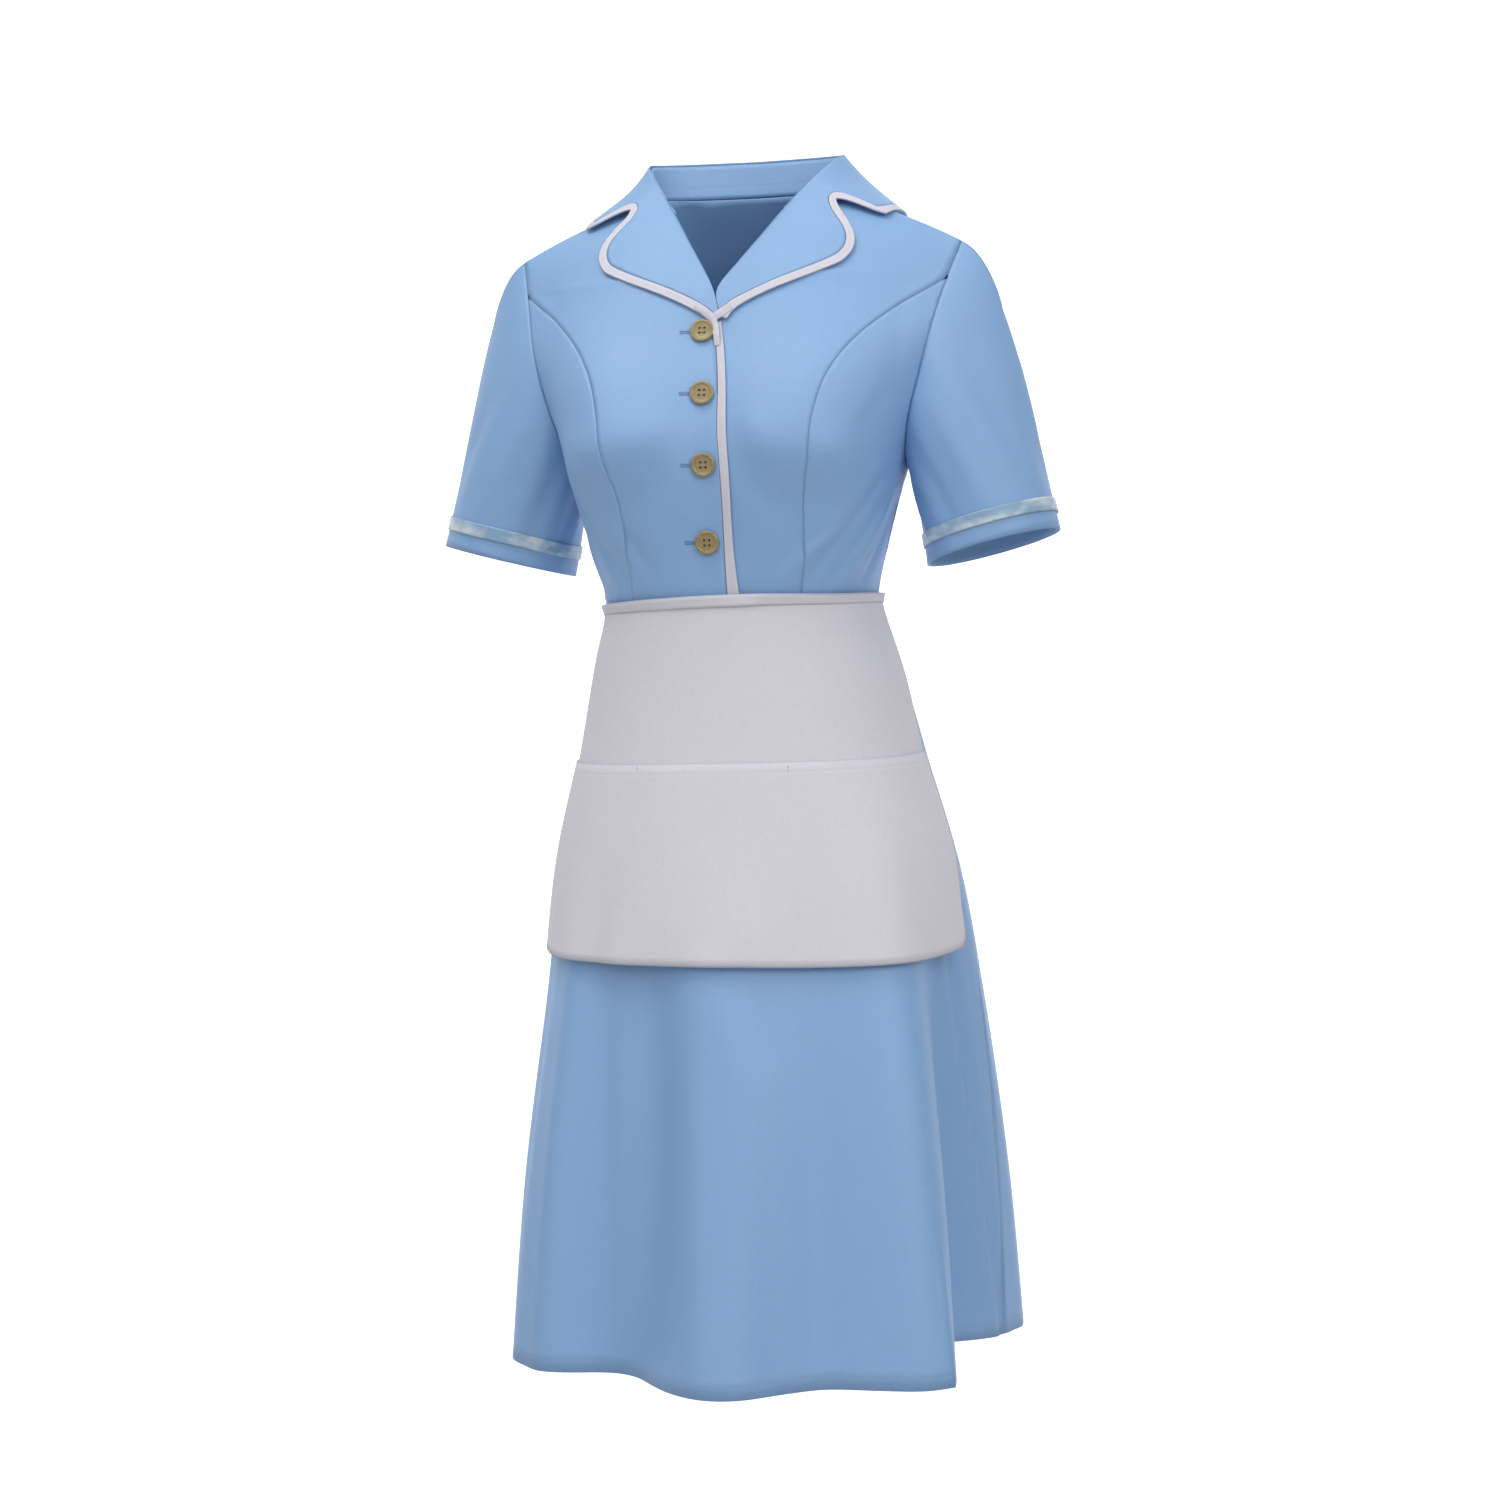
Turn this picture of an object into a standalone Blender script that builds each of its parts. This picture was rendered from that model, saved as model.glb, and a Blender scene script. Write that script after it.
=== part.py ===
"""Waitress dress: button-front bodice, notched collar, short sleeves, A-line skirt and half apron.

Metres, +Z up. The front faces -Y and the wearer's left is +X. The origin is the middle of the
neck opening, level with the fold of the collar beside the neck, where the wearer holds the dress.
"""

import math

import bmesh
import bpy
import numpy as np
from mathutils import Matrix, Vector
from mathutils.bvhtree import BVHTree

# Cloth
CLOTH_WALL = 0.0012
TRIM_WALL = 0.0014
RIBBON_WALL = 0.0010
SEAM_GAP = 0.0003
LAYER_GAP = 0.0006

# Levels
WAIST_Z = -0.3677
HEM_Z = -0.9850

# Front closing: the right front laps over the left
LAP_STEP = 0.0022
LAP_START_X = 0.026
LAP_END_X = 0.046
BINDING_WIDTH = 0.0070
BUTTON_RADIUS = 0.0100
BUTTON_THICKNESS = 0.0030
BUTTON_RIM = 0.0018
BUTTON_HOLE_RADIUS = 0.0009
BUTTON_HOLE_SPREAD = 0.0020
BUTTON_SIDES = 16
BUTTON_SEAT = 0.0004

# Columns: x, z of each button's middle
BUTTONS = (
    (-0.0077, -0.1415),
    (-0.0038, -0.1933),
    (-0.0021, -0.2507),
    (-0.0035, -0.3120),
)

# Edge of the front cloth, waist to neck seam, on the wearer's left. Columns: x, y, z
FRONT_EDGE = (
    (-0.0135, -0.1010, -0.3677),
    (-0.0105, -0.1080, -0.3150),
    (-0.0125, -0.1190, -0.2600),
    (-0.0110, -0.1200, -0.2245),
    (-0.0090, -0.1140, -0.1850),
    (-0.0030, -0.1030, -0.1450),
    (0.0010, -0.0920, -0.1090),
    (0.0255, -0.0655, -0.0690),
    (0.0465, -0.0430, -0.0365),
    (0.0630, -0.0240, -0.0230),
    (0.0775, -0.0080, -0.0170),
)
FRONT_EDGE_BUST = 3
FRONT_EDGE_CHEST = 7

# Outer edge of the binding on the right front, waist to lapel. Columns: distance from centre, z
BOUND_EDGE = (
    (0.0208, -0.3677),
    (0.0175, -0.3150),
    (0.0195, -0.2600),
    (0.0180, -0.2245),
    (0.0158, -0.1850),
    (0.0095, -0.1450),
    (0.0070, -0.1335),
)

# Princess seam, waist to armhole. Columns: x, y, z
PRINCESS = (
    (0.0711, -0.0855, -0.3677),
    (0.0745, -0.1010, -0.3150),
    (0.0805, -0.1240, -0.2650),
    (0.0881, -0.1365, -0.2245),
    (0.0985, -0.1225, -0.1830),
    (0.1180, -0.0960, -0.1500),
    (0.1480, -0.0620, -0.1210),
    (0.1787, -0.0319, -0.0984),
)
PRINCESS_BUST = 3

# Side seam, waist to underarm. Columns: x, y, z
SIDE_SEAM = (
    (0.1120, 0.0000, -0.3677),
    (0.1175, 0.0000, -0.3250),
    (0.1290, 0.0000, -0.2820),
    (0.1390, 0.0000, -0.2472),
)

# Armhole, front first. Columns: angle in degrees, x, y, z
ARMHOLE = (
    (0.0, 0.1880, -0.0130, -0.0655),
    (30.0, 0.1787, -0.0319, -0.0984),
    (65.0, 0.1684, -0.0536, -0.1432),
    (100.0, 0.1586, -0.0562, -0.1803),
    (135.0, 0.1483, -0.0500, -0.2142),
    (158.0, 0.1415, -0.0280, -0.2390),
    (180.0, 0.1390, 0.0000, -0.2472),
    (203.0, 0.1420, 0.0260, -0.2380),
    (228.0, 0.1500, 0.0420, -0.2120),
    (262.0, 0.1600, 0.0480, -0.1750),
    (297.0, 0.1700, 0.0390, -0.1350),
    (330.0, 0.1805, 0.0150, -0.0950),
    (360.0, 0.1880, -0.0130, -0.0655),
)
ARMHOLE_STATIONS = (
    0.0, 7.5, 15.0, 22.5, 30.0, 45.0, 60.0, 75.0, 90.0, 105.0, 120.0, 135.0, 150.0, 165.0, 180.0,
    195.0, 210.0, 225.0, 240.0, 255.0, 270.0, 285.0, 300.0, 315.0, 330.0, 345.0,
)
PRINCESS_STATION = 4
UNDERARM_STATION = 14

# Shoulder seam, neck to armhole. Columns: x, y, z
SHOULDER = (
    (0.0775, -0.0080, -0.0170),
    (0.1310, -0.0110, -0.0385),
    (0.1640, -0.0125, -0.0530),
    (0.1880, -0.0130, -0.0655),
)

# Neck seam across the back, right shoulder to left. Columns: x, y, z
BACK_NECK = (
    (-0.0775, -0.0080, -0.0170),
    (-0.0740, 0.0220, -0.0150),
    (-0.0460, 0.0450, -0.0125),
    (0.0000, 0.0520, -0.0120),
    (0.0460, 0.0450, -0.0125),
    (0.0740, 0.0220, -0.0150),
    (0.0775, -0.0080, -0.0170),
)

# Fullness of the front between its seams. Columns: share of the height, centre panel, side panel
FULLNESS = (
    (0.00, 0.000, 0.000),
    (0.20, 0.002, 0.004),
    (0.45, 0.002, 0.012),
    (0.65, 0.006, 0.012),
    (0.85, 0.010, 0.005),
    (1.00, 0.000, 0.000),
)

# Depth of the centre back between waist and neck. Columns: share of the height, y
BACK_DEPTH = (
    (0.00, 0.0765),
    (0.20, 0.0800),
    (0.40, 0.0890),
    (0.60, 0.0970),
    (0.75, 0.0950),
    (0.90, 0.0780),
    (1.00, 0.0520),
)
BACK_SECTION_CHANGE = (0.70, 1.00)

# Collar with its lapels, lapel break to centre back, on the wearer's left.
# Columns: fold x, y, z, edge x, y, z, roll height, share of the width that is cloth, steps to next
COLLAR = (
    (0.0078, -0.0990, -0.1310, 0.0120, -0.0993, -0.1320, 0.000, 1.00, 2),
    (0.0008, -0.0905, -0.1080, 0.0185, -0.0945, -0.1235, 0.001, 1.00, 2),
    (0.0130, -0.0785, -0.0880, 0.0430, -0.0890, -0.1115, 0.002, 1.00, 2),
    (0.0255, -0.0655, -0.0690, 0.0710, -0.0790, -0.1003, 0.002, 1.00, 2),
    (0.0360, -0.0545, -0.0530, 0.0927, -0.0660, -0.0915, 0.002, 1.00, 2),
    (0.0410, -0.0490, -0.0450, 0.1018, -0.0600, -0.0847, 0.002, 1.00, 2),
    (0.0485, -0.0410, -0.0340, 0.1078, -0.0510, -0.0715, 0.001, 1.00, 2),
    (0.0550, -0.0345, -0.0250, 0.1125, -0.0465, -0.0630, 0.000, 0.82, 2),
    (0.0600, -0.0295, -0.0185, 0.1165, -0.0420, -0.0555, 0.000, 0.57, 2),
    (0.0635, -0.0255, -0.0135, 0.1195, -0.0390, -0.0505, 0.000, 0.43, 2),
    (0.0665, -0.0220, -0.0095, 0.1225, -0.0355, -0.0470, 0.000, 0.62, 2),
    (0.0695, -0.0180, -0.0055, 0.1255, -0.0320, -0.0450, -0.001, 0.90, 1),
    (0.0725, -0.0135, -0.0010, 0.1280, -0.0270, -0.0435, -0.002, 1.00, 1),
    (0.0760, -0.0080, 0.0035, 0.1305, -0.0180, -0.0400, -0.003, 1.00, 1),
    (0.0800, 0.0000, 0.0090, 0.1330, -0.0060, -0.0370, -0.004, 1.00, 1),
    (0.0830, 0.0110, 0.0135, 0.1360, 0.0130, -0.0370, -0.003, 1.00, 2),
    (0.0780, 0.0270, 0.0155, 0.1260, 0.0470, -0.0450, 0.001, 1.00, 2),
    (0.0600, 0.0430, 0.0175, 0.0980, 0.0760, -0.0520, 0.005, 1.00, 2),
    (0.0320, 0.0520, 0.0185, 0.0520, 0.0890, -0.0530, 0.007, 1.00, 2),
    (0.0000, 0.0545, 0.0185, 0.0000, 0.0930, -0.0520, 0.007, 1.00, 0),
)
COLLAR_STAND_START = 7
COLLAR_COLUMNS = 5
COLLAR_LIFT = 0.0020
LAPEL_LIFT = 0.0030
LAPEL_ROLL = 0.0200
COLLAR_CORE = (0.0, 0.0, -0.12)

# Lapel break of the right front, which laps over: fold x, y, z, edge x, y, z
RIGHT_BREAK = (-0.0062, -0.1000, -0.1312, 0.0008, -0.1005, -0.1325)

# Sleeve hem ring
SLEEVE_HEM_CENTRE = (0.2100, 0.0206, -0.3152)
SLEEVE_HEM_HALF_WIDTH = 0.0556
SLEEVE_HEM_HALF_DEPTH = 0.0618
SLEEVE_HEM_TILT = 0.0144
SLEEVE_LEAN = -0.0050
SLEEVE_ROWS = 8

# Run of the sleeve cloth. Columns: leaving the armhole x, y, z, reaching the hem x, y, z
SLEEVE_RUN = {
    "top": (0.105, 0.004, -0.020, 0.065, 0.010, -0.250),
    "front": (0.050, -0.020, -0.110, 0.030, 0.006, -0.130),
    "under": (0.015, 0.005, -0.070, 0.010, 0.010, -0.080),
    "back": (0.050, 0.040, -0.100, 0.030, 0.012, -0.130),
}
RIBBON_WIDTH = 0.0115
RIBBON_ABOVE_HEM = 0.0145

# Skirt rings. Columns: z, half width, front, back
SKIRT_RINGS = (
    (-0.3300, 0.1175, 0.1050, 0.0780),
    (-0.3677, 0.1120, 0.1010, 0.0765),
    (-0.3860, 0.1212, 0.1022, 0.0900),
    (-0.4145, 0.1295, 0.1045, 0.1050),
    (-0.4820, 0.1430, 0.1110, 0.1320),
    (-0.5600, 0.1650, 0.1240, 0.1440),
    (-0.6630, 0.1770, 0.1400, 0.1540),
    (-0.8130, 0.1955, 0.1560, 0.1700),
    (-0.9850, 0.2055, 0.1700, 0.1880),
)
RING_POWER = 2.2

# Lean of the waist and skirt to one side. Columns: z, x of the middle
LEAN = (
    (-0.9850, 0.0000),
    (-0.8130, 0.0048),
    (-0.6630, 0.0060),
    (-0.5600, 0.0040),
    (-0.4820, 0.0020),
    (-0.4145, 0.0000),
    (-0.3860, -0.0025),
    (-0.3600, -0.0035),
    (-0.3300, -0.0012),
    (-0.3000, 0.0000),
)

# Skirt folds. Columns: angle from centre front in degrees, height at the hem, half width, start z
FOLDS = (
    (6.0, 0.030, 15.0, -0.58),
    (-30.0, -0.034, 13.0, -0.55),
    (-57.0, 0.010, 14.0, -0.56),
    (26.0, -0.008, 10.0, -0.60),
    (52.5, 0.044, 11.0, -0.50),
    (77.5, -0.056, 11.0, -0.50),
    (120.0, 0.026, 16.0, -0.50),
    (152.0, -0.022, 13.0, -0.52),
    (180.0, 0.022, 14.0, -0.54),
    (-152.0, -0.020, 13.0, -0.52),
    (-122.0, 0.016, 15.0, -0.54),
    (-90.0, -0.008, 14.0, -0.56),
)
FOLD_POWER = 0.9
HEM_BACK_RISE = 0.0235
HEM_RISE_ANGLES = (15.0, 125.0)
HEM_FOLD_DROP = 0.08
SIDE_SEAM_ANGLE = 98.0
SKIRT_ROWS = 10
SKIRT_FRONT_COLUMNS = 32
SKIRT_BACK_COLUMNS = 26

# Apron. Columns: z, reach from centre front in degrees, distance off the skirt
APRON_EDGE = (
    (-0.3500, 92.0, 0.0042),
    (-0.4200, 91.0, 0.0026),
    (-0.4900, 89.0, 0.0026),
    (-0.5600, 87.0, 0.0034),
    (-0.6200, 83.0, 0.0048),
    (-0.6600, 79.0, 0.0060),
)

# Level lines across the apron, top to bottom. Columns: z at centre front, rise from the right
# edge to the left one, rise towards both edges, rows of cloth down to the next line
APRON_LINES = (
    (-0.3540, 0.0040, 0.0000, 1),
    (-0.3645, 0.0040, 0.0000, 4),
    (-0.4905, 0.0010, 0.0070, 6),
    (-0.6530, -0.0025, 0.0130, 0),
)
APRON_COLUMNS = 24
APRON_BAND_ROW = 1
APRON_POCKET_ROW = 5
POCKET_LIFT = 0.0020
BAND_LIFT = 0.0018
TIE_COLUMNS = 12
TIE_END_ANGLE = 174.5
TIE_LIFT = 0.0024
KNOT_DEPTH = 0.0080
KNOT_HEIGHT = 0.0160
TAIL_WIDTH = 0.0120
TAIL_LENGTH = 0.2300
TAIL_SPREAD = 0.0200
TAIL_ROWS = 8

FRONT_COLUMNS = 6
SIDE_COLUMNS = UNDERARM_STATION - PRINCESS_STATION
LOWER_ROWS = 6
CHEST_ROWS = 10
BACK_SIDE_ROWS = 8
BACK_NECK_COLUMNS = 6

# Colours
BLUE = (0.235, 0.445, 0.760, 1.0)
WHITE = (0.800, 0.790, 0.860, 1.0)
BINDING_WHITE = (0.860, 0.835, 0.870, 1.0)
SATIN = (0.330, 0.500, 0.660, 1.0)
KHAKI = (0.330, 0.255, 0.120, 1.0)


def clear_scene():
    for item in list(bpy.data.objects):
        bpy.data.objects.remove(item, do_unlink=True)


def make_material(name, colour, roughness):
    material = bpy.data.materials.new(name)
    material.use_nodes = True
    shader = material.node_tree.nodes["Principled BSDF"]
    shader.inputs["Base Color"].default_value = colour
    shader.inputs["Roughness"].default_value = roughness
    shader.inputs["Metallic"].default_value = 0.0
    return material


def hermite(knots, values, places):
    """Smooth values between knots, with slopes taken from the neighbours."""
    knots = np.asarray(knots, dtype=float)
    values = np.asarray(values, dtype=float)
    places = np.asarray(places, dtype=float)
    slopes = np.gradient(values, knots, axis=0)
    index = np.clip(np.searchsorted(knots, places, side="right") - 1, 0, len(knots) - 2)
    step = knots[index + 1] - knots[index]
    share = (places - knots[index]) / step
    if values.ndim > 1:
        share = share[..., None]
        step = step[..., None]
    square = share * share
    cube = square * share
    return (
        values[index] * (2 * cube - 3 * square + 1)
        + slopes[index] * step * (cube - 2 * square + share)
        + values[index + 1] * (3 * square - 2 * cube)
        + slopes[index + 1] * step * (cube - square)
    )


def curve(points, count):
    """Points evenly spaced by length on a smooth curve through the given ones."""
    points = np.asarray(points, dtype=float)
    lengths = np.linalg.norm(np.diff(points, axis=0), axis=1)
    knots = np.concatenate(([0.0], np.cumsum(lengths)))
    return hermite(knots, points, np.linspace(0.0, knots[-1], count + 1))


def joined(*curves):
    """One run of points out of several that share their ends."""
    return np.vstack([curves[0]] + [item[1:] for item in curves[1:]])


def halved(points):
    """The same run of straight stretches with a point added in the middle of each."""
    middles = (points[:-1] + points[1:]) / 2
    return np.vstack((np.stack((points[:-1], middles), axis=1).reshape(-1, 3), points[-1:]))


def mirrored(points):
    return np.asarray(points) * (-1.0, 1.0, 1.0)


def unit(vectors):
    return vectors / np.linalg.norm(vectors, axis=-1, keepdims=True)


def smooth_step(low, high, values):
    share = np.clip((values - low) / (high - low), 0.0, 1.0)
    return share * share * (3.0 - 2.0 * share)


def four_sided(left, right, bottom, top):
    """Grid of points that fills four edge curves: rows go up, columns go from left to right."""
    across = np.linspace(0.0, 1.0, len(bottom))[None, :, None]
    up = np.linspace(0.0, 1.0, len(left))[:, None, None]
    sides = (1 - across) * left[:, None] + across * right[:, None]
    ends = (1 - up) * bottom[None] + up * top[None]
    corners = (1 - up) * ((1 - across) * bottom[0] + across * bottom[-1])
    corners = corners + up * ((1 - across) * top[0] + across * top[-1])
    return sides + ends - corners


def grid_normals(grid, core, closed=False):
    """Unit normals of a grid, pointing away from the core line or point."""
    if closed:
        across = np.roll(grid, -1, axis=1) - np.roll(grid, 1, axis=1)
    else:
        across = np.gradient(grid, axis=1)
    up = np.gradient(grid, axis=0)
    normals = unit(np.cross(across, up))
    if np.sum(normals * (grid - core)) < 0:
        normals = -normals
    return normals


def axis_core(grid, y=0.0):
    """Points on an upright line through the body, level with each grid point."""
    core = np.zeros_like(grid)
    core[..., 1] = y
    core[..., 2] = grid[..., 2] - 0.05
    return core


def share_normals(panels):
    """Gives panels the same normal wherever they share a seam point."""
    totals = {}
    for grid, normals in panels:
        for point, normal in zip(grid.reshape(-1, 3), normals.reshape(-1, 3)):
            key = tuple(np.round(point, 5))
            totals[key] = totals.get(key, 0.0) + normal
    shared = []
    for grid, normals in panels:
        sums = [totals[tuple(np.round(point, 5))] for point in grid.reshape(-1, 3)]
        shared.append((grid, unit(np.array(sums)).reshape(grid.shape)))
    return shared


def set_back(grid, sides, distance=SEAM_GAP / 2):
    """Draws the named edges of a grid back along the cloth."""
    grid = grid.copy()
    if "left" in sides:
        grid[:, 0] += unit(grid[:, 1] - grid[:, 0]) * distance
    if "right" in sides:
        grid[:, -1] += unit(grid[:, -2] - grid[:, -1]) * distance
    if "bottom" in sides:
        grid[0] += unit(grid[1] - grid[0]) * distance
    if "top" in sides:
        grid[-1] += unit(grid[-2] - grid[-1]) * distance
    return grid


def add_object(name, vertices, faces, material):
    """A closed, smooth-shaded mesh object with its faces turned outward."""
    mesh = bpy.data.meshes.new(name)
    mesh.from_pydata([tuple(point) for point in vertices], [], faces)
    shape = bmesh.new()
    shape.from_mesh(mesh)
    bmesh.ops.recalc_face_normals(shape, faces=shape.faces)
    shape.to_mesh(mesh)
    shape.free()
    mesh.shade_smooth()
    mesh.set_sharp_from_angle(angle=math.radians(50.0))
    mesh.materials.append(material)
    item = bpy.data.objects.new(name, mesh)
    bpy.context.scene.collection.objects.link(item)
    return item


def add_wall(name, outer, inner, material, closed=False):
    """Cloth wall between two grids of points, open or closed round its columns."""
    rows, columns = outer.shape[:2]
    count = rows * columns
    spans = columns if closed else columns - 1

    def vertex(row, column, side):
        return side * count + row * columns + column % columns

    faces = []
    for row in range(rows - 1):
        for column in range(spans):
            for side in (0, 1):
                face = [
                    vertex(row, column, side),
                    vertex(row, column + 1, side),
                    vertex(row + 1, column + 1, side),
                    vertex(row + 1, column, side),
                ]
                faces.append(face[:1] + face[:0:-1] if side else face)
    for column in range(spans):
        for row in (0, rows - 1):
            face = [
                vertex(row, column, 0),
                vertex(row, column + 1, 0),
                vertex(row, column + 1, 1),
                vertex(row, column, 1),
            ]
            faces.append(face if row else face[::-1])
    if not closed:
        for row in range(rows - 1):
            for column in (0, columns - 1):
                face = [
                    vertex(row, column, 0),
                    vertex(row + 1, column, 0),
                    vertex(row + 1, column, 1),
                    vertex(row, column, 1),
                ]
                faces.append(face[::-1] if column else face)
    vertices = np.vstack((outer.reshape(-1, 3), inner.reshape(-1, 3)))
    return add_object(name, vertices, faces, material)


def cloth_tree(panels):
    """Search tree over outer cloth surfaces, each given as a grid and its normals."""
    vertices = []
    faces = []
    for grid, normals in panels:
        rows, columns = grid.shape[:2]
        start = len(vertices)
        vertices.extend(Vector(point) for point in grid.reshape(-1, 3))
        corner = np.cross(grid[0, 1] - grid[0, 0], grid[1, 0] - grid[0, 0])
        turned = np.dot(corner, normals[0, 0]) < 0
        for row in range(rows - 1):
            for column in range(columns - 1):
                first = start + row * columns + column
                face = [first, first + 1, first + columns + 1, first + columns]
                faces.append(face[::-1] if turned else face)
    return BVHTree.FromPolygons(vertices, faces)


def clear_of(points, tree, distance, beside=0.004):
    """Moves points out until each lies at least the given distance off the cloth below."""
    cleared = points.copy()
    distance = np.broadcast_to(distance, points.shape[:-1])
    for index in np.ndindex(points.shape[:-1]):
        point = Vector(points[index])
        place, normal, _, _ = tree.find_nearest(point)
        height = (point - place).dot(normal)
        aside = (point - place - normal * height).length
        if height < distance[index] and aside < beside:
            cleared[index] = point + normal * (distance[index] - height)
    return cleared


def ring_points(levels, angles):
    """Skirt surface without folds; angles run from centre front towards the wearer's left."""
    table = np.array(SKIRT_RINGS)[::-1]
    rows = hermite(table[:, 0], table[:, 1:], levels)
    width, front, back = np.moveaxis(rows, -1, 0)
    sine = np.sin(angles)
    cosine = np.cos(angles)
    depth = np.where(cosine > 0, front, back)
    reach = (np.abs(sine / width) ** RING_POWER + np.abs(cosine / depth) ** RING_POWER)
    reach = reach ** (-1 / RING_POWER)
    return np.stack((reach * sine, -reach * cosine, levels), axis=-1)


def leaning(points):
    """The same points moved aside with the lean of the waist and skirt."""
    table = np.array(LEAN)
    points = points.copy()
    places = np.clip(points[..., 2], table[0, 0], table[-1, 0])
    points[..., 0] += hermite(table[:, 0], table[:, 1], places)
    return points


def fold_height(levels, angles):
    total = np.zeros_like(angles)
    for centre, height, half_width, start in FOLDS:
        turn = np.degrees(angles) - centre
        turn = (turn + 180.0) % 360.0 - 180.0
        growth = np.clip((start - levels) / (start - HEM_Z), 0.0, None) ** FOLD_POWER
        total = total + height * growth * np.exp(-((turn / half_width) ** 2))
    return total


def skirt_points(levels, angles, lowest=-1.0):
    """Skirt surface with its folds, none of them deeper than the lowest height."""
    points = ring_points(levels, angles)
    height = np.maximum(fold_height(levels, angles), lowest)
    outward = np.stack((np.sin(angles), -np.cos(angles), np.zeros_like(angles)), axis=-1)
    return leaning(points + outward * height[..., None])


def hem_level(angles):
    turn = np.degrees(np.arccos(np.cos(angles)))
    rise = HEM_BACK_RISE * smooth_step(*HEM_RISE_ANGLES, turn)
    drop = HEM_FOLD_DROP * fold_height(np.full_like(angles, HEM_Z), angles)
    return HEM_Z + rise - drop


def armhole_points(angles):
    table = np.array(ARMHOLE)
    return hermite(table[:, 0], table[:, 1:], angles)


def fullness(column, count):
    table = np.array(FULLNESS)
    return hermite(table[:, 0], table[:, column], np.linspace(0.0, 1.0, count))


def waist_run(first, last, count):
    """Points on the waist seam between two angles."""
    angles = np.linspace(first, last, count + 1)
    return ring_points(np.full(count + 1, WAIST_Z), angles)


def waist_angle(point):
    return math.atan2(point[0], -point[1])


def princess_run():
    lower = curve(PRINCESS[: PRINCESS_BUST + 1], LOWER_ROWS)
    upper = curve(PRINCESS[PRINCESS_BUST:], CHEST_ROWS)
    run = joined(lower, upper)
    run[0] = ring_points(np.array(WAIST_Z), np.array(waist_angle(PRINCESS[0])))
    return run


def front_edge_run():
    lower = curve(FRONT_EDGE[: FRONT_EDGE_BUST + 1], LOWER_ROWS)
    chest = curve(FRONT_EDGE[FRONT_EDGE_BUST: FRONT_EDGE_CHEST + 1], CHEST_ROWS)
    neck = curve(FRONT_EDGE[FRONT_EDGE_CHEST:], PRINCESS_STATION)
    run = joined(lower, chest, neck)
    run[0] = ring_points(np.array(WAIST_Z), np.array(waist_angle(FRONT_EDGE[0])))
    return run


def front_centre_grid():
    """Front between the closing edge and the princess seam, on the wearer's left."""
    edge = front_edge_run()
    upper_armhole = armhole_points(np.array(ARMHOLE_STATIONS[: PRINCESS_STATION + 1]))[::-1]
    seam = joined(princess_run(), upper_armhole)
    waist = waist_run(waist_angle(edge[0]), waist_angle(seam[0]), FRONT_COLUMNS)
    shoulder = curve(SHOULDER, FRONT_COLUMNS)
    return full_grid(edge, seam, waist, shoulder, 1)


def front_side_grid():
    """Front between the princess seam and the side seam, on the wearer's left."""
    seam = princess_run()
    side = halved(curve(SIDE_SEAM, BACK_SIDE_ROWS))
    waist = waist_run(waist_angle(seam[0]), waist_angle(side[0]), SIDE_COLUMNS)
    side[0] = waist[-1]
    stations = ARMHOLE_STATIONS[PRINCESS_STATION: UNDERARM_STATION + 1]
    return full_grid(seam, side, waist, armhole_points(np.array(stations)), 2)


def back_grid():
    """Whole back, from the right side seam to the left one."""
    side = curve(SIDE_SEAM, BACK_SIDE_ROWS)
    stations = ARMHOLE_STATIONS[UNDERARM_STATION:] + (360.0,)
    left = joined(side, armhole_points(np.array(stations)))
    columns = 2 * FRONT_COLUMNS + BACK_NECK_COLUMNS
    side_angle = waist_angle(side[0])
    waist = waist_run(2 * math.pi - side_angle, side_angle, columns)
    shoulder = curve(SHOULDER, FRONT_COLUMNS)
    neck = curve(BACK_NECK, BACK_NECK_COLUMNS)
    top = joined(mirrored(shoulder)[::-1], neck, shoulder)
    left[0] = waist[-1]
    grid = four_sided(mirrored(left), left, waist, top)
    share = np.linspace(0.0, 1.0, len(left))
    table = np.array(BACK_DEPTH)
    depth = hermite(table[:, 0], table[:, 1], share) - left[:, 1]
    upward = smooth_step(*BACK_SECTION_CHANGE, share)[:, None]
    section = (1 - upward) * rise_across(waist[:, 1]) + upward * rise_across(top[:, 1])
    grid[..., 1] = left[:, 1, None] + depth[:, None] * section
    return grid


def rise_across(depths):
    """Depths across the back, as shares of the way from its side to its middle."""
    middle = depths[len(depths) // 2]
    return (depths - depths[0]) / (middle - depths[0])


def full_grid(left, right, bottom, top, column):
    """Four-sided grid, eased out between its seams by a column of the fullness table."""
    grid = four_sided(left, right, bottom, top)
    normals = grid_normals(grid, axis_core(grid))
    across = np.linspace(0.0, 1.0, grid.shape[1])
    amount = fullness(column, grid.shape[0])[:, None] * (4 * across * (1 - across))[None, :]
    return grid + normals * amount[..., None]


def lap_under(grid):
    """Steps the left front in under the right one near the closing edge."""
    step = LAP_STEP * (1 - smooth_step(LAP_START_X, LAP_END_X, grid[..., 0]))
    normals = grid_normals(grid, axis_core(grid))
    return grid - normals * step[..., None]


def bodice_panels():
    centre = front_centre_grid()
    side = front_side_grid()
    back = back_grid()
    grids = {
        "front_centre_left": centre,
        "front_centre_right": mirrored(centre),
        "front_side_left": side,
        "front_side_right": mirrored(side),
        "back": back,
    }
    grids = {name: leaning(grid) for name, grid in grids.items()}
    pairs = [(grid, grid_normals(grid, axis_core(grid))) for grid in grids.values()]
    panels = dict(zip(grids, share_normals(pairs)))
    left, normals = panels["front_centre_left"]
    left = lap_under(left)
    panels["front_centre_left"] = (left, normals)
    right, side_normals = panels["front_centre_right"]
    lap = clear_of(right, cloth_tree([(left, normals)]), CLOTH_WALL + LAYER_GAP)
    panels["front_centre_right"] = (lap, side_normals)
    return panels


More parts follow.
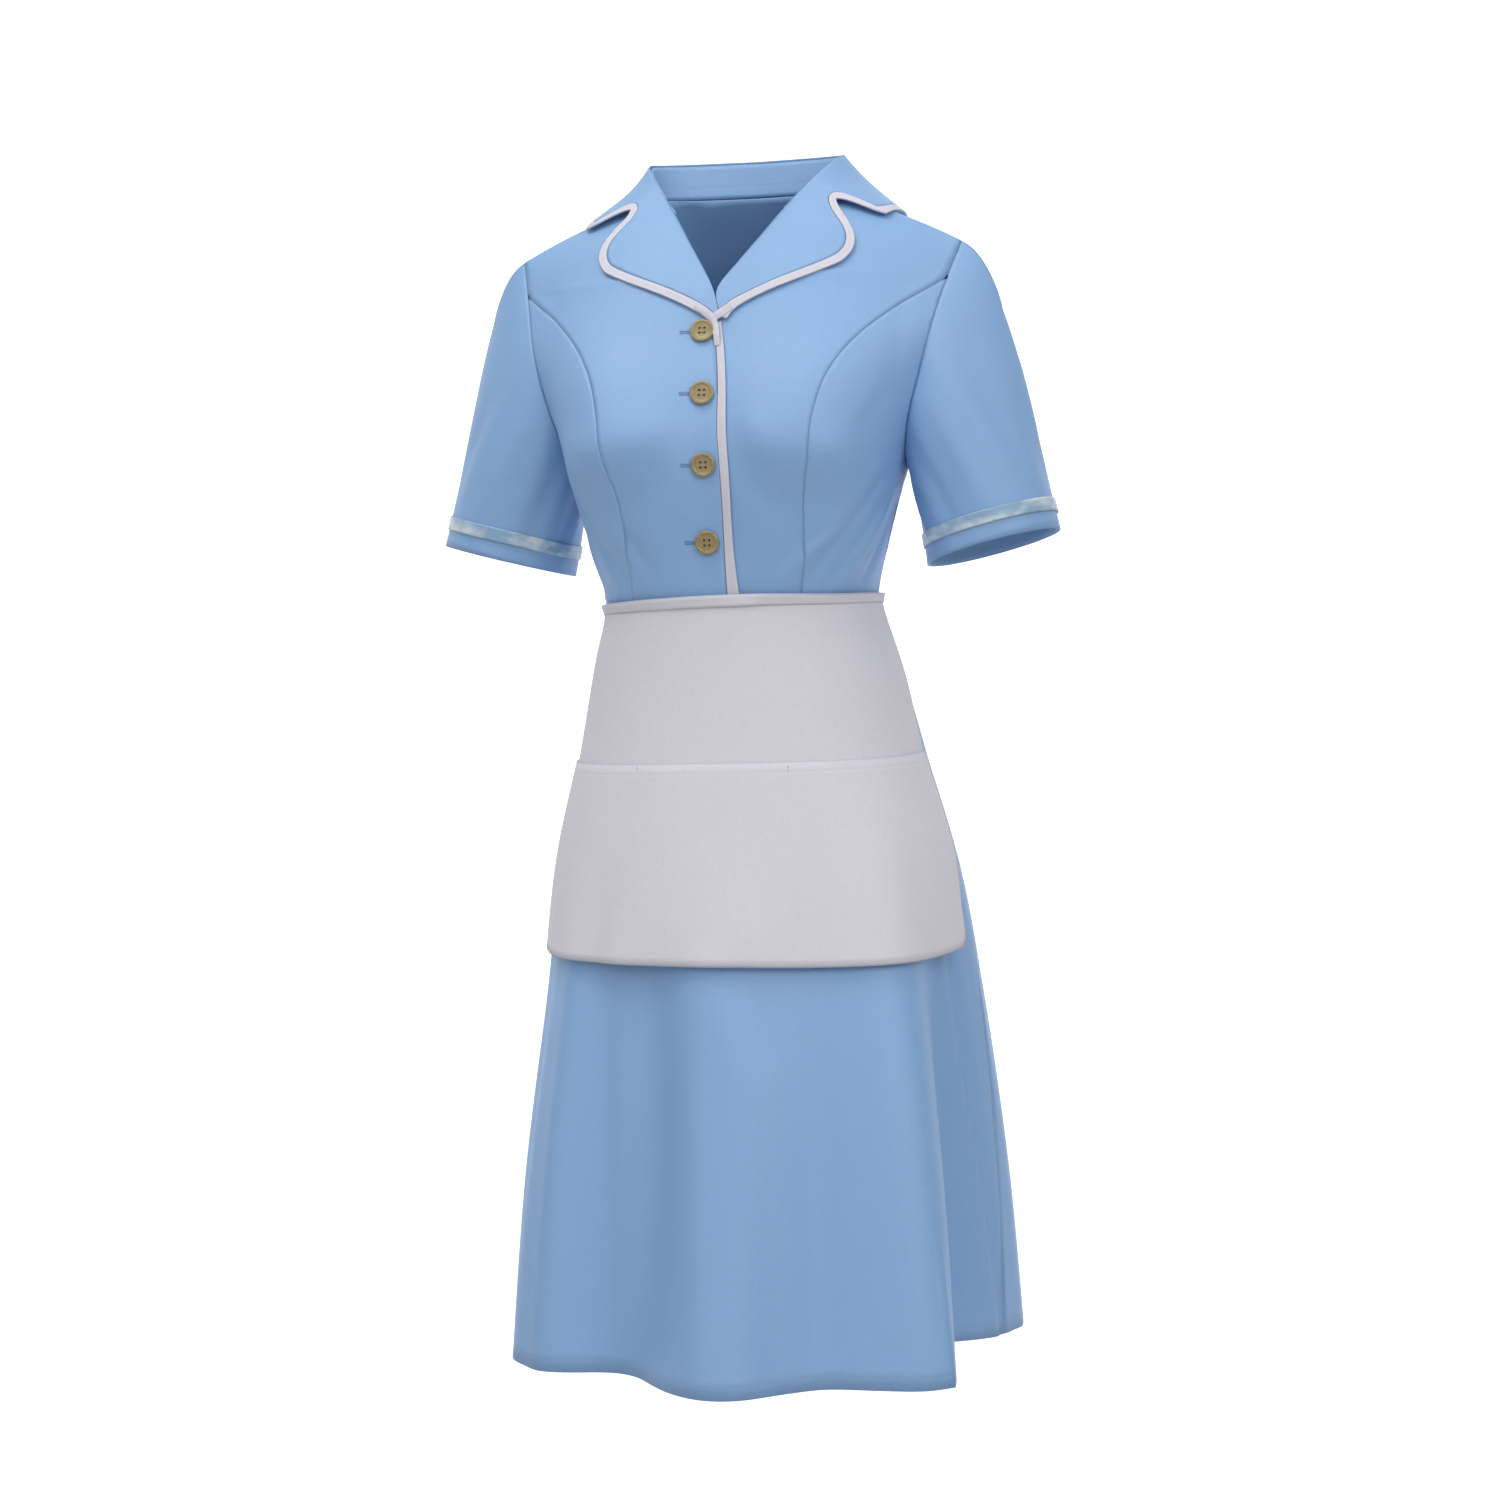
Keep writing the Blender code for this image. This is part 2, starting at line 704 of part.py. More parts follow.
def make_bodice(panels, cloth):
    for name, (grid, normals) in panels.items():
        outer = set_back(grid, ("left", "right", "bottom", "top"))
        add_wall(name, outer, outer - normals * CLOTH_WALL, cloth)


def front_binding_layer(right, left):
    """Binding along the closing edge of the right front, clear of the left one under it."""
    grid, normals = right
    table = np.array(BOUND_EDGE)
    top = BOUND_EDGE[-1][1]
    height = grid[:, 0, 2]
    below = height < top - SEAM_GAP
    levels = np.append(height[below], top)
    start, inside, facing = (
        np.stack([np.interp(levels, height, column[:, k]) for k in range(3)], axis=1)
        for column in (grid[:, 0], grid[:, 1], normals[:, 0])
    )
    slope = unit(start - inside)
    start = start + slope * SEAM_GAP
    reach = hermite(table[:, 1], table[:, 0], levels)
    end = start + slope * ((reach - start[:, 0]) / slope[:, 0])[:, None]
    strip = np.stack((start, (start + end) / 2, end), axis=1)
    proud = (TRIM_WALL - CLOTH_WALL) / 2
    facing = np.repeat(unit(facing)[:, None], 3, axis=1)
    strip = clear_of(strip, cloth_tree([left]), CLOTH_WALL + LAYER_GAP)
    return strip + facing * proud, facing


def collar_sections(side):
    """Collar sections on one side: fold, full edge, roll height and cloth share of each."""
    table = np.array(COLLAR)
    if side == "right":
        table[0, :6] = RIGHT_BREAK
    counts = table[:-1, 8].astype(int)
    steps = [index + np.arange(count) / count for index, count in enumerate(counts)]
    places = np.append(np.concatenate(steps), len(table) - 1.0)
    rows = hermite(np.arange(len(table)), table[:, :8], places)
    return rows[:, 0:3], rows[:, 3:6], rows[:, 6], rows[:, 7]


def collar_surface(fold, edge, roll, shares):
    """Points of the collar at the given shares of the way from fold to full edge."""
    along = np.gradient(fold, axis=0)
    chord = edge - fold
    rise = unit(np.cross(along, chord))
    rise = np.where(np.sum(rise * (0.0, 0.0, 1.0), axis=-1, keepdims=True) < 0, -rise, rise)
    shape = 6.75 * shares * (1 - shares) ** 2
    points = fold[:, None] + chord[:, None] * shares[..., None]
    return points + rise[:, None] * (roll[:, None] * shape)[..., None]


def collar_half(side):
    """Points of one side of the collar and how far each lies from the fold."""
    fold, edge, roll, share = collar_sections(side)
    width = np.linalg.norm(edge - fold, axis=1)
    lengths = np.linalg.norm(np.diff(fold, axis=0), axis=1)
    stations = np.concatenate(([0.0], np.cumsum(lengths)))
    rim = width * share
    inset = binding_inset(stations, rim)
    slope = np.gradient(inset, stations)
    start = inset + SEAM_GAP * np.sqrt(1 + slope ** 2)
    cloth = np.linspace(0.0, 1.0, COLLAR_COLUMNS + 1)[None] * inset[:, None]
    band = start[:, None] + np.linspace(0.0, 1.0, 3)[None] * (rim - start)[:, None]
    reach = np.concatenate((cloth, band), axis=1)
    return collar_surface(fold, edge, roll, reach / width[:, None]), reach


def collar_layer(tree):
    """Collar and its binding as one grid, from the left lapel round the neck to the right one."""
    left, left_reach = collar_half("left")
    right, right_reach = collar_half("right")
    grid = np.concatenate((left, mirrored(right)[-2::-1]), axis=0)
    reach = np.concatenate((left_reach, right_reach[-2::-1]), axis=0)
    normals = grid_normals(grid, COLLAR_CORE)
    lift = COLLAR_LIFT + (LAPEL_LIFT - COLLAR_LIFT) * smooth_step(0.0, LAPEL_ROLL, reach)
    grid = clear_of(grid + normals * (COLLAR_LIFT - SEAM_GAP), tree, lift)
    return grid, grid_normals(grid, COLLAR_CORE)


def make_collar(layer, cloth, trim):
    grid, normals = layer
    split = COLLAR_COLUMNS + 1
    add_wall("collar", grid[:, :split], (grid - normals * CLOTH_WALL)[:, :split], cloth)
    outer = (grid + normals * (TRIM_WALL - CLOTH_WALL) / 2)[:, split:]
    add_wall("collar_binding", outer, outer - normals[:, split:] * TRIM_WALL, trim)


def binding_inset(stations, rim):
    """Distance from fold to binding, kept one binding's width inside the rim all along it."""
    fine = np.linspace(stations[0], stations[-1], 1200)
    fine_rim = np.interp(fine, stations, rim)
    inset = np.empty_like(stations)
    for index, station in enumerate(stations):
        aside = fine - station
        near = np.abs(aside) < BINDING_WIDTH
        depth = np.sqrt(BINDING_WIDTH ** 2 - aside[near] ** 2)
        inset[index] = np.min(fine_rim[near] - depth)
    return np.maximum(inset, 0.0006)


def make_stand(cloth):
    """Upright band inside the collar, from the neck seam to the fold."""
    table = np.array(COLLAR)[COLLAR_STAND_START:, 0:3]
    fold = curve(table, 12)
    edge = curve(joined(np.array(FRONT_EDGE[-3:]), np.array(BACK_NECK[::-1][:4])), 12)
    fold = np.concatenate((fold, mirrored(fold)[-2::-1]), axis=0)
    edge = np.concatenate((edge, mirrored(edge)[-2::-1]), axis=0)
    lower = edge + (0.0, 0.0, 2 * SEAM_GAP)
    upper = fold - unit(fold - lower) * 4 * SEAM_GAP
    grid = np.stack((lower, (lower + upper) / 2, upper), axis=1)
    normals = grid_normals(grid, (0.0, 0.0, 0.0))
    add_wall("collar_stand", grid, grid - normals * CLOTH_WALL, cloth)


def sleeve_weights(angles):
    top = np.maximum(np.cos(angles), 0.0) ** 2
    under = np.maximum(-np.cos(angles), 0.0) ** 2
    front = np.maximum(np.sin(angles), 0.0) ** 2
    back = np.maximum(-np.sin(angles), 0.0) ** 2
    return {"top": top, "under": under, "front": front, "back": back}


def sleeve_points(shares):
    """Left sleeve at the given shares of the way from armhole to hem, a row of them at a time."""
    degrees = np.array(ARMHOLE_STATIONS)
    angles = np.radians(degrees)
    start = armhole_points(degrees)
    centre = np.array(SLEEVE_HEM_CENTRE)
    end = centre + np.stack(
        (
            SLEEVE_HEM_HALF_WIDTH * np.cos(angles),
            -SLEEVE_HEM_HALF_DEPTH * np.sin(angles),
            SLEEVE_HEM_TILT * np.cos(angles),
        ),
        axis=-1,
    )
    run = sum(
        weight[:, None] * np.array(SLEEVE_RUN[name])
        for name, weight in sleeve_weights(angles).items()
    )
    leave = run[:, 0:3]
    reach = run[:, 3:6]
    share = np.asarray(shares)[..., None]
    square = share ** 2
    cube = share ** 3
    return (
        start * (2 * cube - 3 * square + 1)
        + leave * (cube - 2 * square + share)
        + end * (3 * square - 2 * cube)
        + reach * (cube - square)
    )


def shares_above_hem(distances):
    """Shares of the way down the left sleeve that lie the given distances above its hem."""
    fine = np.linspace(0.0, 1.0, 81)
    runs = sleeve_points(fine[:, None])
    steps = np.linalg.norm(np.diff(runs, axis=0), axis=2)
    left = np.cumsum(steps[::-1], axis=0)
    columns = [np.interp(distances, left[:, k], fine[:-1][::-1]) for k in range(left.shape[1])]
    return np.stack(columns, axis=1)


def sleeve_core(grid):
    """Line down the middle of the sleeve, one point for each row."""
    return np.mean(grid, axis=1, keepdims=True)


def sleeve_side(side, shares):
    """Sleeve points on one side, with both hems leaning the same way."""
    points = sleeve_points(shares)
    if side == "right":
        points = mirrored(points)
    points[..., 0] += SLEEVE_LEAN * shares ** 2
    return points


def make_sleeve(side, cloth, satin):
    grid = sleeve_side(side, np.linspace(0.0, 1.0, SLEEVE_ROWS + 1)[:, None])
    middle = RIBBON_ABOVE_HEM + RIBBON_WIDTH / 2
    rises = (middle + RIBBON_WIDTH / 2, middle, middle - RIBBON_WIDTH / 2)
    ribbon = sleeve_side(side, shares_above_hem(rises))
    normals = grid_normals(grid, sleeve_core(grid), closed=True)
    grid[0] += unit(grid[1] - grid[0]) * 3 * SEAM_GAP
    add_wall("sleeve_" + side, grid, grid - normals * CLOTH_WALL, cloth, closed=True)
    normals = grid_normals(ribbon, sleeve_core(ribbon), closed=True)
    inner = ribbon + normals * LAYER_GAP
    add_wall("sleeve_ribbon_" + side, inner + normals * RIBBON_WALL, inner, satin, closed=True)


def skirt_grid(first, last, columns):
    angles = np.radians(np.linspace(first, last, columns + 1))
    shares = np.linspace(0.0, 1.0, SKIRT_ROWS + 1)[:, None]
    levels = WAIST_Z + (hem_level(angles)[None] - WAIST_Z) * shares
    angles = np.broadcast_to(angles, levels.shape)
    grid = skirt_points(levels, angles)
    return grid, grid_normals(grid, axis_core(grid, 0.02))


def make_skirt(cloth):
    front = skirt_grid(-SIDE_SEAM_ANGLE, SIDE_SEAM_ANGLE, SKIRT_FRONT_COLUMNS)
    back = skirt_grid(SIDE_SEAM_ANGLE, 360.0 - SIDE_SEAM_ANGLE, SKIRT_BACK_COLUMNS)
    panels = dict(zip(("skirt_front", "skirt_back"), share_normals((front, back))))
    for name, (grid, normals) in panels.items():
        outer = set_back(grid, ("left", "right", "bottom"))
        add_wall(name, outer, outer - normals * CLOTH_WALL, cloth)
    return panels


def apron_levels(turn):
    """Height of each row of apron cloth at each column."""
    lines = [z + tilt * turn + rise * turn ** 4 for z, tilt, rise, _ in APRON_LINES]
    rows = []
    for (_, _, _, count), upper, lower in zip(APRON_LINES, lines, lines[1:]):
        rows.extend(upper + (lower - upper) * step / count for step in range(count))
    return np.array(rows + [lines[-1]])


def apron_layer(tree):
    """Apron cloth over the dress in the tree."""
    table = np.array(APRON_EDGE)[::-1]
    turn = np.linspace(-1.0, 1.0, APRON_COLUMNS + 1)
    levels = apron_levels(turn)
    reach, off = np.moveaxis(hermite(table[:, 0], table[:, 1:], levels), -1, 0)
    grid = skirt_points(levels, np.radians(reach * turn), 0.0)
    normals = grid_normals(grid, axis_core(grid))
    grid = clear_of(grid + normals * off[..., None], tree, off)
    return grid, grid_normals(grid, axis_core(grid))


def lifted(layer, rows, lift):
    """Rows of a layer moved out to lie on top of it."""
    grid, normals = layer
    return grid[rows] + normals[rows] * lift, normals[rows]


def add_layer(name, layer, wall, material):
    grid, normals = layer
    add_wall(name, grid, grid - normals * wall, material)


def make_apron(tree, white):
    panel = apron_layer(tree)
    pocket = lifted(panel, slice(APRON_POCKET_ROW, None), POCKET_LIFT)
    band = lifted(panel, slice(0, APRON_BAND_ROW + 1), BAND_LIFT)
    add_layer("apron_panel", panel, CLOTH_WALL, white)
    add_layer("apron_pocket", pocket, CLOTH_WALL, white)
    add_layer("apron_waistband", band, CLOTH_WALL, white)
    return band


def tie_grid(end, side, tree):
    """Tie from the end of the waistband round to the back, on one side."""
    turn = np.linspace(0.0, 1.0, TIE_COLUMNS + 1)
    share = np.linspace(0.0, 1.0, 2)[:, None]
    start = abs(waist_angle(end[0]))
    angles = side * (start + (math.radians(TIE_END_ANGLE) - start) * turn)
    top = end[0, 2] + (APRON_LINES[0][0] - end[0, 2]) * turn
    levels = top[None] + (APRON_LINES[1][0] - APRON_LINES[0][0]) * share
    angles = np.broadcast_to(angles, levels.shape)
    grid = leaning(ring_points(levels, angles))
    normals = grid_normals(grid, axis_core(grid))
    grid = clear_of(grid + normals * TIE_LIFT, tree, TIE_LIFT)
    return grid, grid_normals(grid, axis_core(grid))


def make_ties(band, tree, white):
    grid = band[0]
    ties = {"right": tie_grid(grid[:, 0], -1, tree), "left": tie_grid(grid[:, -1], 1, tree)}
    for side, tie in ties.items():
        outer = set_back(tie[0], ("left", "right"), SEAM_GAP)
        add_layer("apron_tie_" + side, (outer, tie[1]), CLOTH_WALL, white)
    return ties


def make_knot(ties, white):
    """Flat knot between the ends of the ties, at the middle of the back."""
    ends = np.array([tie[0][:, -1] for tie in ties.values()]).reshape(-1, 3)
    middle = ends.mean(axis=0)
    width = ends[:, 0].max() - ends[:, 0].min() - 2 * SEAM_GAP
    mesh = bpy.data.meshes.new("apron_knot")
    shape = bmesh.new()
    bmesh.ops.create_cube(shape, size=1.0)
    bmesh.ops.scale(shape, vec=(width, KNOT_DEPTH, KNOT_HEIGHT), verts=shape.verts)
    bmesh.ops.bevel(
        shape, geom=shape.edges[:], offset=KNOT_DEPTH / 3, segments=2, affect="EDGES", profile=0.5
    )
    shape.to_mesh(mesh)
    shape.free()
    mesh.shade_smooth()
    mesh.materials.append(white)
    item = bpy.data.objects.new("apron_knot", mesh)
    item.location = (middle[0], middle[1] + KNOT_DEPTH / 2 - CLOTH_WALL, middle[2])
    bpy.context.scene.collection.objects.link(item)
    return item.location.copy()


def tail_grid(knot, side, tree):
    """End of a tie hanging from the knot over the back of the skirt."""
    share = np.linspace(0.0, 1.0, TAIL_ROWS + 1)[:, None]
    width = np.linspace(-0.5, 0.5, 2)[None] * TAIL_WIDTH
    top = knot[2] - KNOT_HEIGHT / 2 - 5 * SEAM_GAP
    middle = knot[0] + side * (TAIL_WIDTH / 2 + SEAM_GAP + TAIL_SPREAD * share ** 0.8)
    levels = top - TAIL_LENGTH * share + 0.0 * width
    offset = middle + width
    back = hermite(np.array(SKIRT_RINGS)[::-1, 0], np.array(SKIRT_RINGS)[::-1, 3], levels)
    grid = np.stack((offset, back, levels), axis=-1)
    normals = grid_normals(grid, axis_core(grid))
    grid = clear_of(grid + normals * TIE_LIFT, tree, TIE_LIFT, 0.02)
    return grid, grid_normals(grid, axis_core(grid))


def make_tails(knot, tree, white):
    for name, side in (("right", -1), ("left", 1)):
        add_layer("apron_tail_" + name, tail_grid(knot, side, tree), CLOTH_WALL, white)


def button_mesh():
    """Round button with a raised rim, a dished middle and four holes."""
    rim = BUTTON_RADIUS - BUTTON_RIM
    profile = (
        (0.0, 0.0),
        (BUTTON_RADIUS * 0.80, 0.0),
        (BUTTON_RADIUS, BUTTON_THICKNESS * 0.45),
        (BUTTON_RADIUS * 0.96, BUTTON_THICKNESS * 0.85),
        (BUTTON_RADIUS * 0.88, BUTTON_THICKNESS),
        (rim, BUTTON_THICKNESS * 0.70),
        (0.0, BUTTON_THICKNESS * 0.60),
    )
    shape = bmesh.new()
    points = [shape.verts.new((radius, 0.0, height)) for radius, height in profile]
    for first, second in zip(points, points[1:]):
        shape.edges.new((first, second))
    bmesh.ops.spin(
        shape, geom=shape.verts[:] + shape.edges[:], axis=(0, 0, 1), cent=(0, 0, 0),
        steps=BUTTON_SIDES, angle=2 * math.pi, use_merge=True,
    )
    bmesh.ops.remove_doubles(shape, verts=shape.verts, dist=0.00001)
    bmesh.ops.recalc_face_normals(shape, faces=shape.faces)
    mesh = bpy.data.meshes.new("button")
    shape.to_mesh(mesh)
    shape.free()
    return mesh


def hole_cutter(name, place):
    """Four pins in one guide object, which cut the holes of a button."""
    shape = bmesh.new()
    for corner in range(4):
        turn = math.radians(45 + 90 * corner)
        spot = (BUTTON_HOLE_SPREAD * math.cos(turn), BUTTON_HOLE_SPREAD * math.sin(turn), 0.0)
        bmesh.ops.create_cone(
            shape, cap_ends=True, segments=6, radius1=BUTTON_HOLE_RADIUS,
            radius2=BUTTON_HOLE_RADIUS, depth=4 * BUTTON_THICKNESS,
            matrix=Matrix.Translation(spot),
        )
    mesh = bpy.data.meshes.new(name)
    shape.to_mesh(mesh)
    shape.free()
    cutter = bpy.data.objects.new(name, mesh)
    cutter.matrix_world = place
    cutter.hide_render = True
    cutter.display_type = "WIRE"
    bpy.context.scene.collection.objects.link(cutter)
    return cutter


def button_seat(x, z, tree):
    """Where a button lies: the middle of its back, clear of the cloth, and the way it faces."""
    away = Vector((0.0, 1.0, 0.0))
    place = tree.ray_cast(Vector((x, -1.0, z)), away)[0]
    around = []
    for step in range(BUTTON_SIDES):
        turn = 2 * math.pi * step / BUTTON_SIDES
        start = (x + BUTTON_RADIUS * math.cos(turn), -1.0, z + BUTTON_RADIUS * math.sin(turn))
        around.append(tree.ray_cast(Vector(start), away)[0])
    quarter = BUTTON_SIDES // 4
    facing = (around[0] - around[2 * quarter]).cross(around[quarter] - around[3 * quarter])
    facing.normalize()
    height = max((point - place).dot(facing) for point in around + [place])
    return place + facing * (height + BUTTON_SEAT), facing


def make_buttons(tree, khaki):
    mesh = button_mesh()
    mesh.materials.append(khaki)
    for number, (x, z) in enumerate(BUTTONS, 1):
        place, facing = button_seat(x, z, tree)
        button = bpy.data.objects.new(f"button_{number}", mesh)
        turn = facing.to_track_quat("Z", "Y").to_matrix().to_4x4()
        button.matrix_world = Matrix.Translation(place) @ turn
        bpy.context.scene.collection.objects.link(button)
        holes = button.modifiers.new("holes", "BOOLEAN")
        holes.operation = "DIFFERENCE"
        holes.solver = "EXACT"
        holes.object = hole_cutter(f"button_{number}_holes", button.matrix_world)


def main():
    clear_scene()
    blue = make_material("blue_twill", BLUE, 0.75)
    white = make_material("white_twill", WHITE, 0.80)
    trim = make_material("white_binding", BINDING_WHITE, 0.70)
    satin = make_material("blue_satin", SATIN, 0.35)
    khaki = make_material("khaki_button", KHAKI, 0.40)
    panels = bodice_panels()
    make_bodice(panels, blue)
    make_collar(collar_layer(cloth_tree(list(panels.values()))), blue, trim)
    make_stand(blue)
    fronts = [panels["front_centre_right"], panels["front_centre_left"]]
    binding = front_binding_layer(*fronts)
    add_layer("front_binding", binding, TRIM_WALL, trim)
    make_buttons(cloth_tree(fronts + [binding]), khaki)
    for side in ("left", "right"):
        make_sleeve(side, blue, satin)
    skirt = make_skirt(blue)
    dress = cloth_tree(list(panels.values()) + list(skirt.values()) + [binding])
    band = make_apron(dress, white)
    ties = make_ties(band, dress, white)
    knot = make_knot(ties, white)
    make_tails(knot, dress, white)


main()
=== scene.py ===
"""Looks of the waitress dress: cloth, trims, buttons, stitching, light and camera.

Metres, +Z up, the front faces -Y and the wearer's left is +X.
"""

import math

import bmesh
import bpy
import numpy as np
from mathutils import Matrix, Vector, noise
from mathutils.bvhtree import BVHTree
from mathutils.kdtree import KDTree


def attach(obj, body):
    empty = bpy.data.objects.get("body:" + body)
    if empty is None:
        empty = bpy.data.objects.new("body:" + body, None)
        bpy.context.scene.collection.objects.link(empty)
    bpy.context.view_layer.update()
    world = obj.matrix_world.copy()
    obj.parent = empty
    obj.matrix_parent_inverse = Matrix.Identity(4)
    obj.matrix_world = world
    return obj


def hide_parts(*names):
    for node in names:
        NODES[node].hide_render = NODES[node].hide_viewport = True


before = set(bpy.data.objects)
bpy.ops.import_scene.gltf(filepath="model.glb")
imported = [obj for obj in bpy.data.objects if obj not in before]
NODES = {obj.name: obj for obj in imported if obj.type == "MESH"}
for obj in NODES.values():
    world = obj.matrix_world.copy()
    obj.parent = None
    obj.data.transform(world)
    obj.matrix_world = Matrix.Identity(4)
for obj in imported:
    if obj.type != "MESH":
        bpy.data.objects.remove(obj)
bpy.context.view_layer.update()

# Finer walls
WELD = 0.00002
FINE_LEVELS = 2
QUAD_ANGLE = math.radians(40.0)
QUAD_SKEW = math.radians(100.0)
SHARP_ANGLE = math.radians(52.0)

# Distances stored on the cloth, and how steep a rim's normal is at a hem, a tie or a side edge
RIM_STEP = 0.0015
FAR_FROM_RIM = 0.05
HEM_SLOPE = 0.75
TIE_SLOPE = 0.6
SIDE_SLOPE = 0.5

# Apron: how its edge at the wearer's right lies on the skirt, and the short rows of stitches at
# the pocket mouth. Columns of the rows: x, z at the top, z at the bottom
SIDE_GAP = 0.0008
SIDE_REACH = 0.070
SIDE_START = 0.01
SIDE_DEPTH = 0.08
POCKET_ROWS = ((-0.0665, -0.4885, -0.4960), (0.0603, -0.4885, -0.4985))
ROW_STITCH = 0.0026
ROW_BREAK = 0.0008
ROW_SHARES = (0.0, 0.25, 0.75, 1.0)
ROW_LIFT = 0.00005
ROW_RADIUS = 0.00030

# Section of a crease: height and place of the bank beside it, as shares, and how it tapers off
BANK_HEIGHT = 0.45
BANK_PLACE = 1.8
CREASE_TAPER = 0.8

# Creases of bodice and skirt. Columns: angle, z at one end, angle, z at the other end,
# half width, height. Angles run from centre front to the wearer's left, in degrees
BODY_CREASES = (
    (66.0, -0.250, 38.0, -0.352, 0.0080, -0.0036),
    (78.0, -0.262, 52.0, -0.356, 0.0075, 0.0030),
    (88.0, -0.270, 66.0, -0.356, 0.0070, -0.0034),
    (-60.0, -0.262, -40.0, -0.350, 0.0080, -0.0028),
    (-78.0, -0.268, -58.0, -0.354, 0.0075, 0.0026),
    (52.0, -0.296, 26.0, -0.345, 0.0065, 0.0020),
    (-38.0, -0.285, -26.0, -0.345, 0.0065, -0.0018),
    (66.0, -0.170, 52.0, -0.225, 0.0100, -0.0016),
    (-66.0, -0.165, -50.0, -0.220, 0.0100, -0.0016),
    (120.0, -0.262, 165.0, -0.325, 0.0110, -0.0030),
    (135.0, -0.290, 178.0, -0.345, 0.0100, 0.0020),
    (-122.0, -0.258, -160.0, -0.320, 0.0110, -0.0028),
    (-140.0, -0.285, -176.0, -0.350, 0.0100, 0.0022),
    (150.0, -0.200, 175.0, -0.300, 0.0120, -0.0020),
    (-148.0, -0.190, -172.0, -0.290, 0.0120, -0.0016),
    (-40.0, -0.560, -36.5, -1.350, 0.0155, -0.0066),
    (-51.0, -0.560, -48.0, -1.350, 0.0130, 0.0026),
    (-20.0, -0.620, -16.0, -1.010, 0.0200, -0.0052),
    (-4.0, -0.630, 0.5, -1.010, 0.0170, 0.0036),
    (11.0, -0.630, 18.0, -0.735, 0.0170, -0.0030),
    (24.0, -0.680, 25.0, -1.200, 0.0150, 0.0022),
    (38.0, -0.680, 40.0, -1.150, 0.0120, 0.0012),
    (-66.0, -0.560, -68.0, -1.200, 0.0130, -0.0024),
    (-80.0, -0.540, -84.0, -1.200, 0.0140, 0.0020),
    (82.5, -0.560, 100.0, -1.050, 0.0060, -0.0048),
    (94.0, -0.520, 112.0, -1.150, 0.0120, 0.0024),
    (112.0, -0.420, 116.0, -0.760, 0.0130, -0.0022),
    (138.0, -0.430, 141.0, -0.900, 0.0150, 0.0024),
    (165.0, -0.410, 168.0, -0.820, 0.0130, -0.0020),
    (-168.0, -0.430, -170.0, -0.960, 0.0140, 0.0020),
    (-138.0, -0.420, -138.0, -0.860, 0.0150, -0.0024),
    (-108.0, -0.430, -106.0, -0.900, 0.0130, 0.0020),
)

# Slow unevenness of the cloth. Columns of a noise: size, stretch along the height
BODY_NOISE = (0.085, 3.0)
BODY_UNEVEN = 0.0006
SKIRT_UNEVEN = 0.0016
SLEEVE_NOISE = (0.06, 2.0)
SLEEVE_UNEVEN = 0.0009

# Spans over which the moves of the cloth set in or die out
SKIRT_SPAN = (-0.36, -0.60)
CLOSING_HALF = 0.035
CLOSING_SPAN = (-0.44, -0.38)
NECK_SPAN = (-0.16, -0.10)
ARMHOLE_SIDE = (0.120, 0.145)
ARMHOLE_SPAN = (-0.262, -0.235)
SLEEVE_SPAN = (-0.15, 0.20)
SLEEVE_HEAD = 0.15

# Smoothing of the bodice across its seams
SMOOTH_ANGLE = 96.0
SMOOTH_TURN = 1.5
SMOOTH_LOW = -0.392
SMOOTH_HIGH = -0.090
SMOOTH_RISE = 0.004
SMOOTH_JUMP = 0.006
SMOOTH_BLUR = (3.0, 2.2)
SMOOTH_START = 0.4
SMOOTH_DEPTH = 0.38
SMOOTH_FADE = (0.80, 0.98)
FAINT = 1e-6

# Turn of the front under the bust
SHELF_CENTRE = -0.222
SHELF_DIP = 0.014
SHELF_DIP_SPAN = (0.02, 0.075)
SHELF_LEFT = 0.008
SHELF_LEFT_SPAN = (0.02, 0.07)
SHELF_HALF = 0.020
SHELF_STEP = 0.042
SHELF_RISE = 0.0032
SHELF_FALL = 0.0028
SHELF_SIDE = (0.105, 0.140)

# Creases of a sleeve. Columns: angle round it, share of the way down, angle, share, half width,
# height. Angle 0 is the outside and 90 the front
SLEEVE_CREASES = {
    "left": (
        (60.0, 0.15, 25.0, 0.70, 0.0110, -0.0022),
        (95.0, 0.20, 70.0, 0.95, 0.0100, 0.0018),
        (120.0, 0.35, 100.0, 0.98, 0.0085, -0.0024),
        (150.0, 0.55, 128.0, 1.00, 0.0070, 0.0018),
        (20.0, 0.30, -5.0, 0.90, 0.0120, -0.0014),
        (-60.0, 0.20, -40.0, 0.90, 0.0110, 0.0020),
        (-100.0, 0.30, -80.0, 0.95, 0.0100, -0.0022),
        (-140.0, 0.45, -125.0, 0.98, 0.0080, 0.0018),
    ),
    "right": (
        (50.0, 0.10, 20.0, 0.75, 0.0110, -0.0018),
        (85.0, 0.25, 62.0, 0.95, 0.0105, 0.0016),
        (128.0, 0.30, 104.0, 0.98, 0.0085, -0.0022),
        (155.0, 0.50, 136.0, 1.00, 0.0065, -0.0022),
        (-30.0, 0.25, -15.0, 0.90, 0.0120, -0.0014),
        (-75.0, 0.20, -50.0, 0.85, 0.0110, 0.0020),
        (-115.0, 0.35, -95.0, 0.95, 0.0100, -0.0020),
    ),
}
SLEEVE_TOP = np.array((0.1640, 0.0000, -0.1500))
SLEEVE_END = np.array((0.2050, 0.0206, -0.3152))

# Weave: radius by which an angle round the body or a sleeve becomes a width of cloth
WEAVE_RADIUS = {"body": 0.15, "sleeve": 0.06}

# Seams
SEAM_EDGE = 0.0005
SEAM_REACH = 0.0016
SEAM_DRAW = 0.47

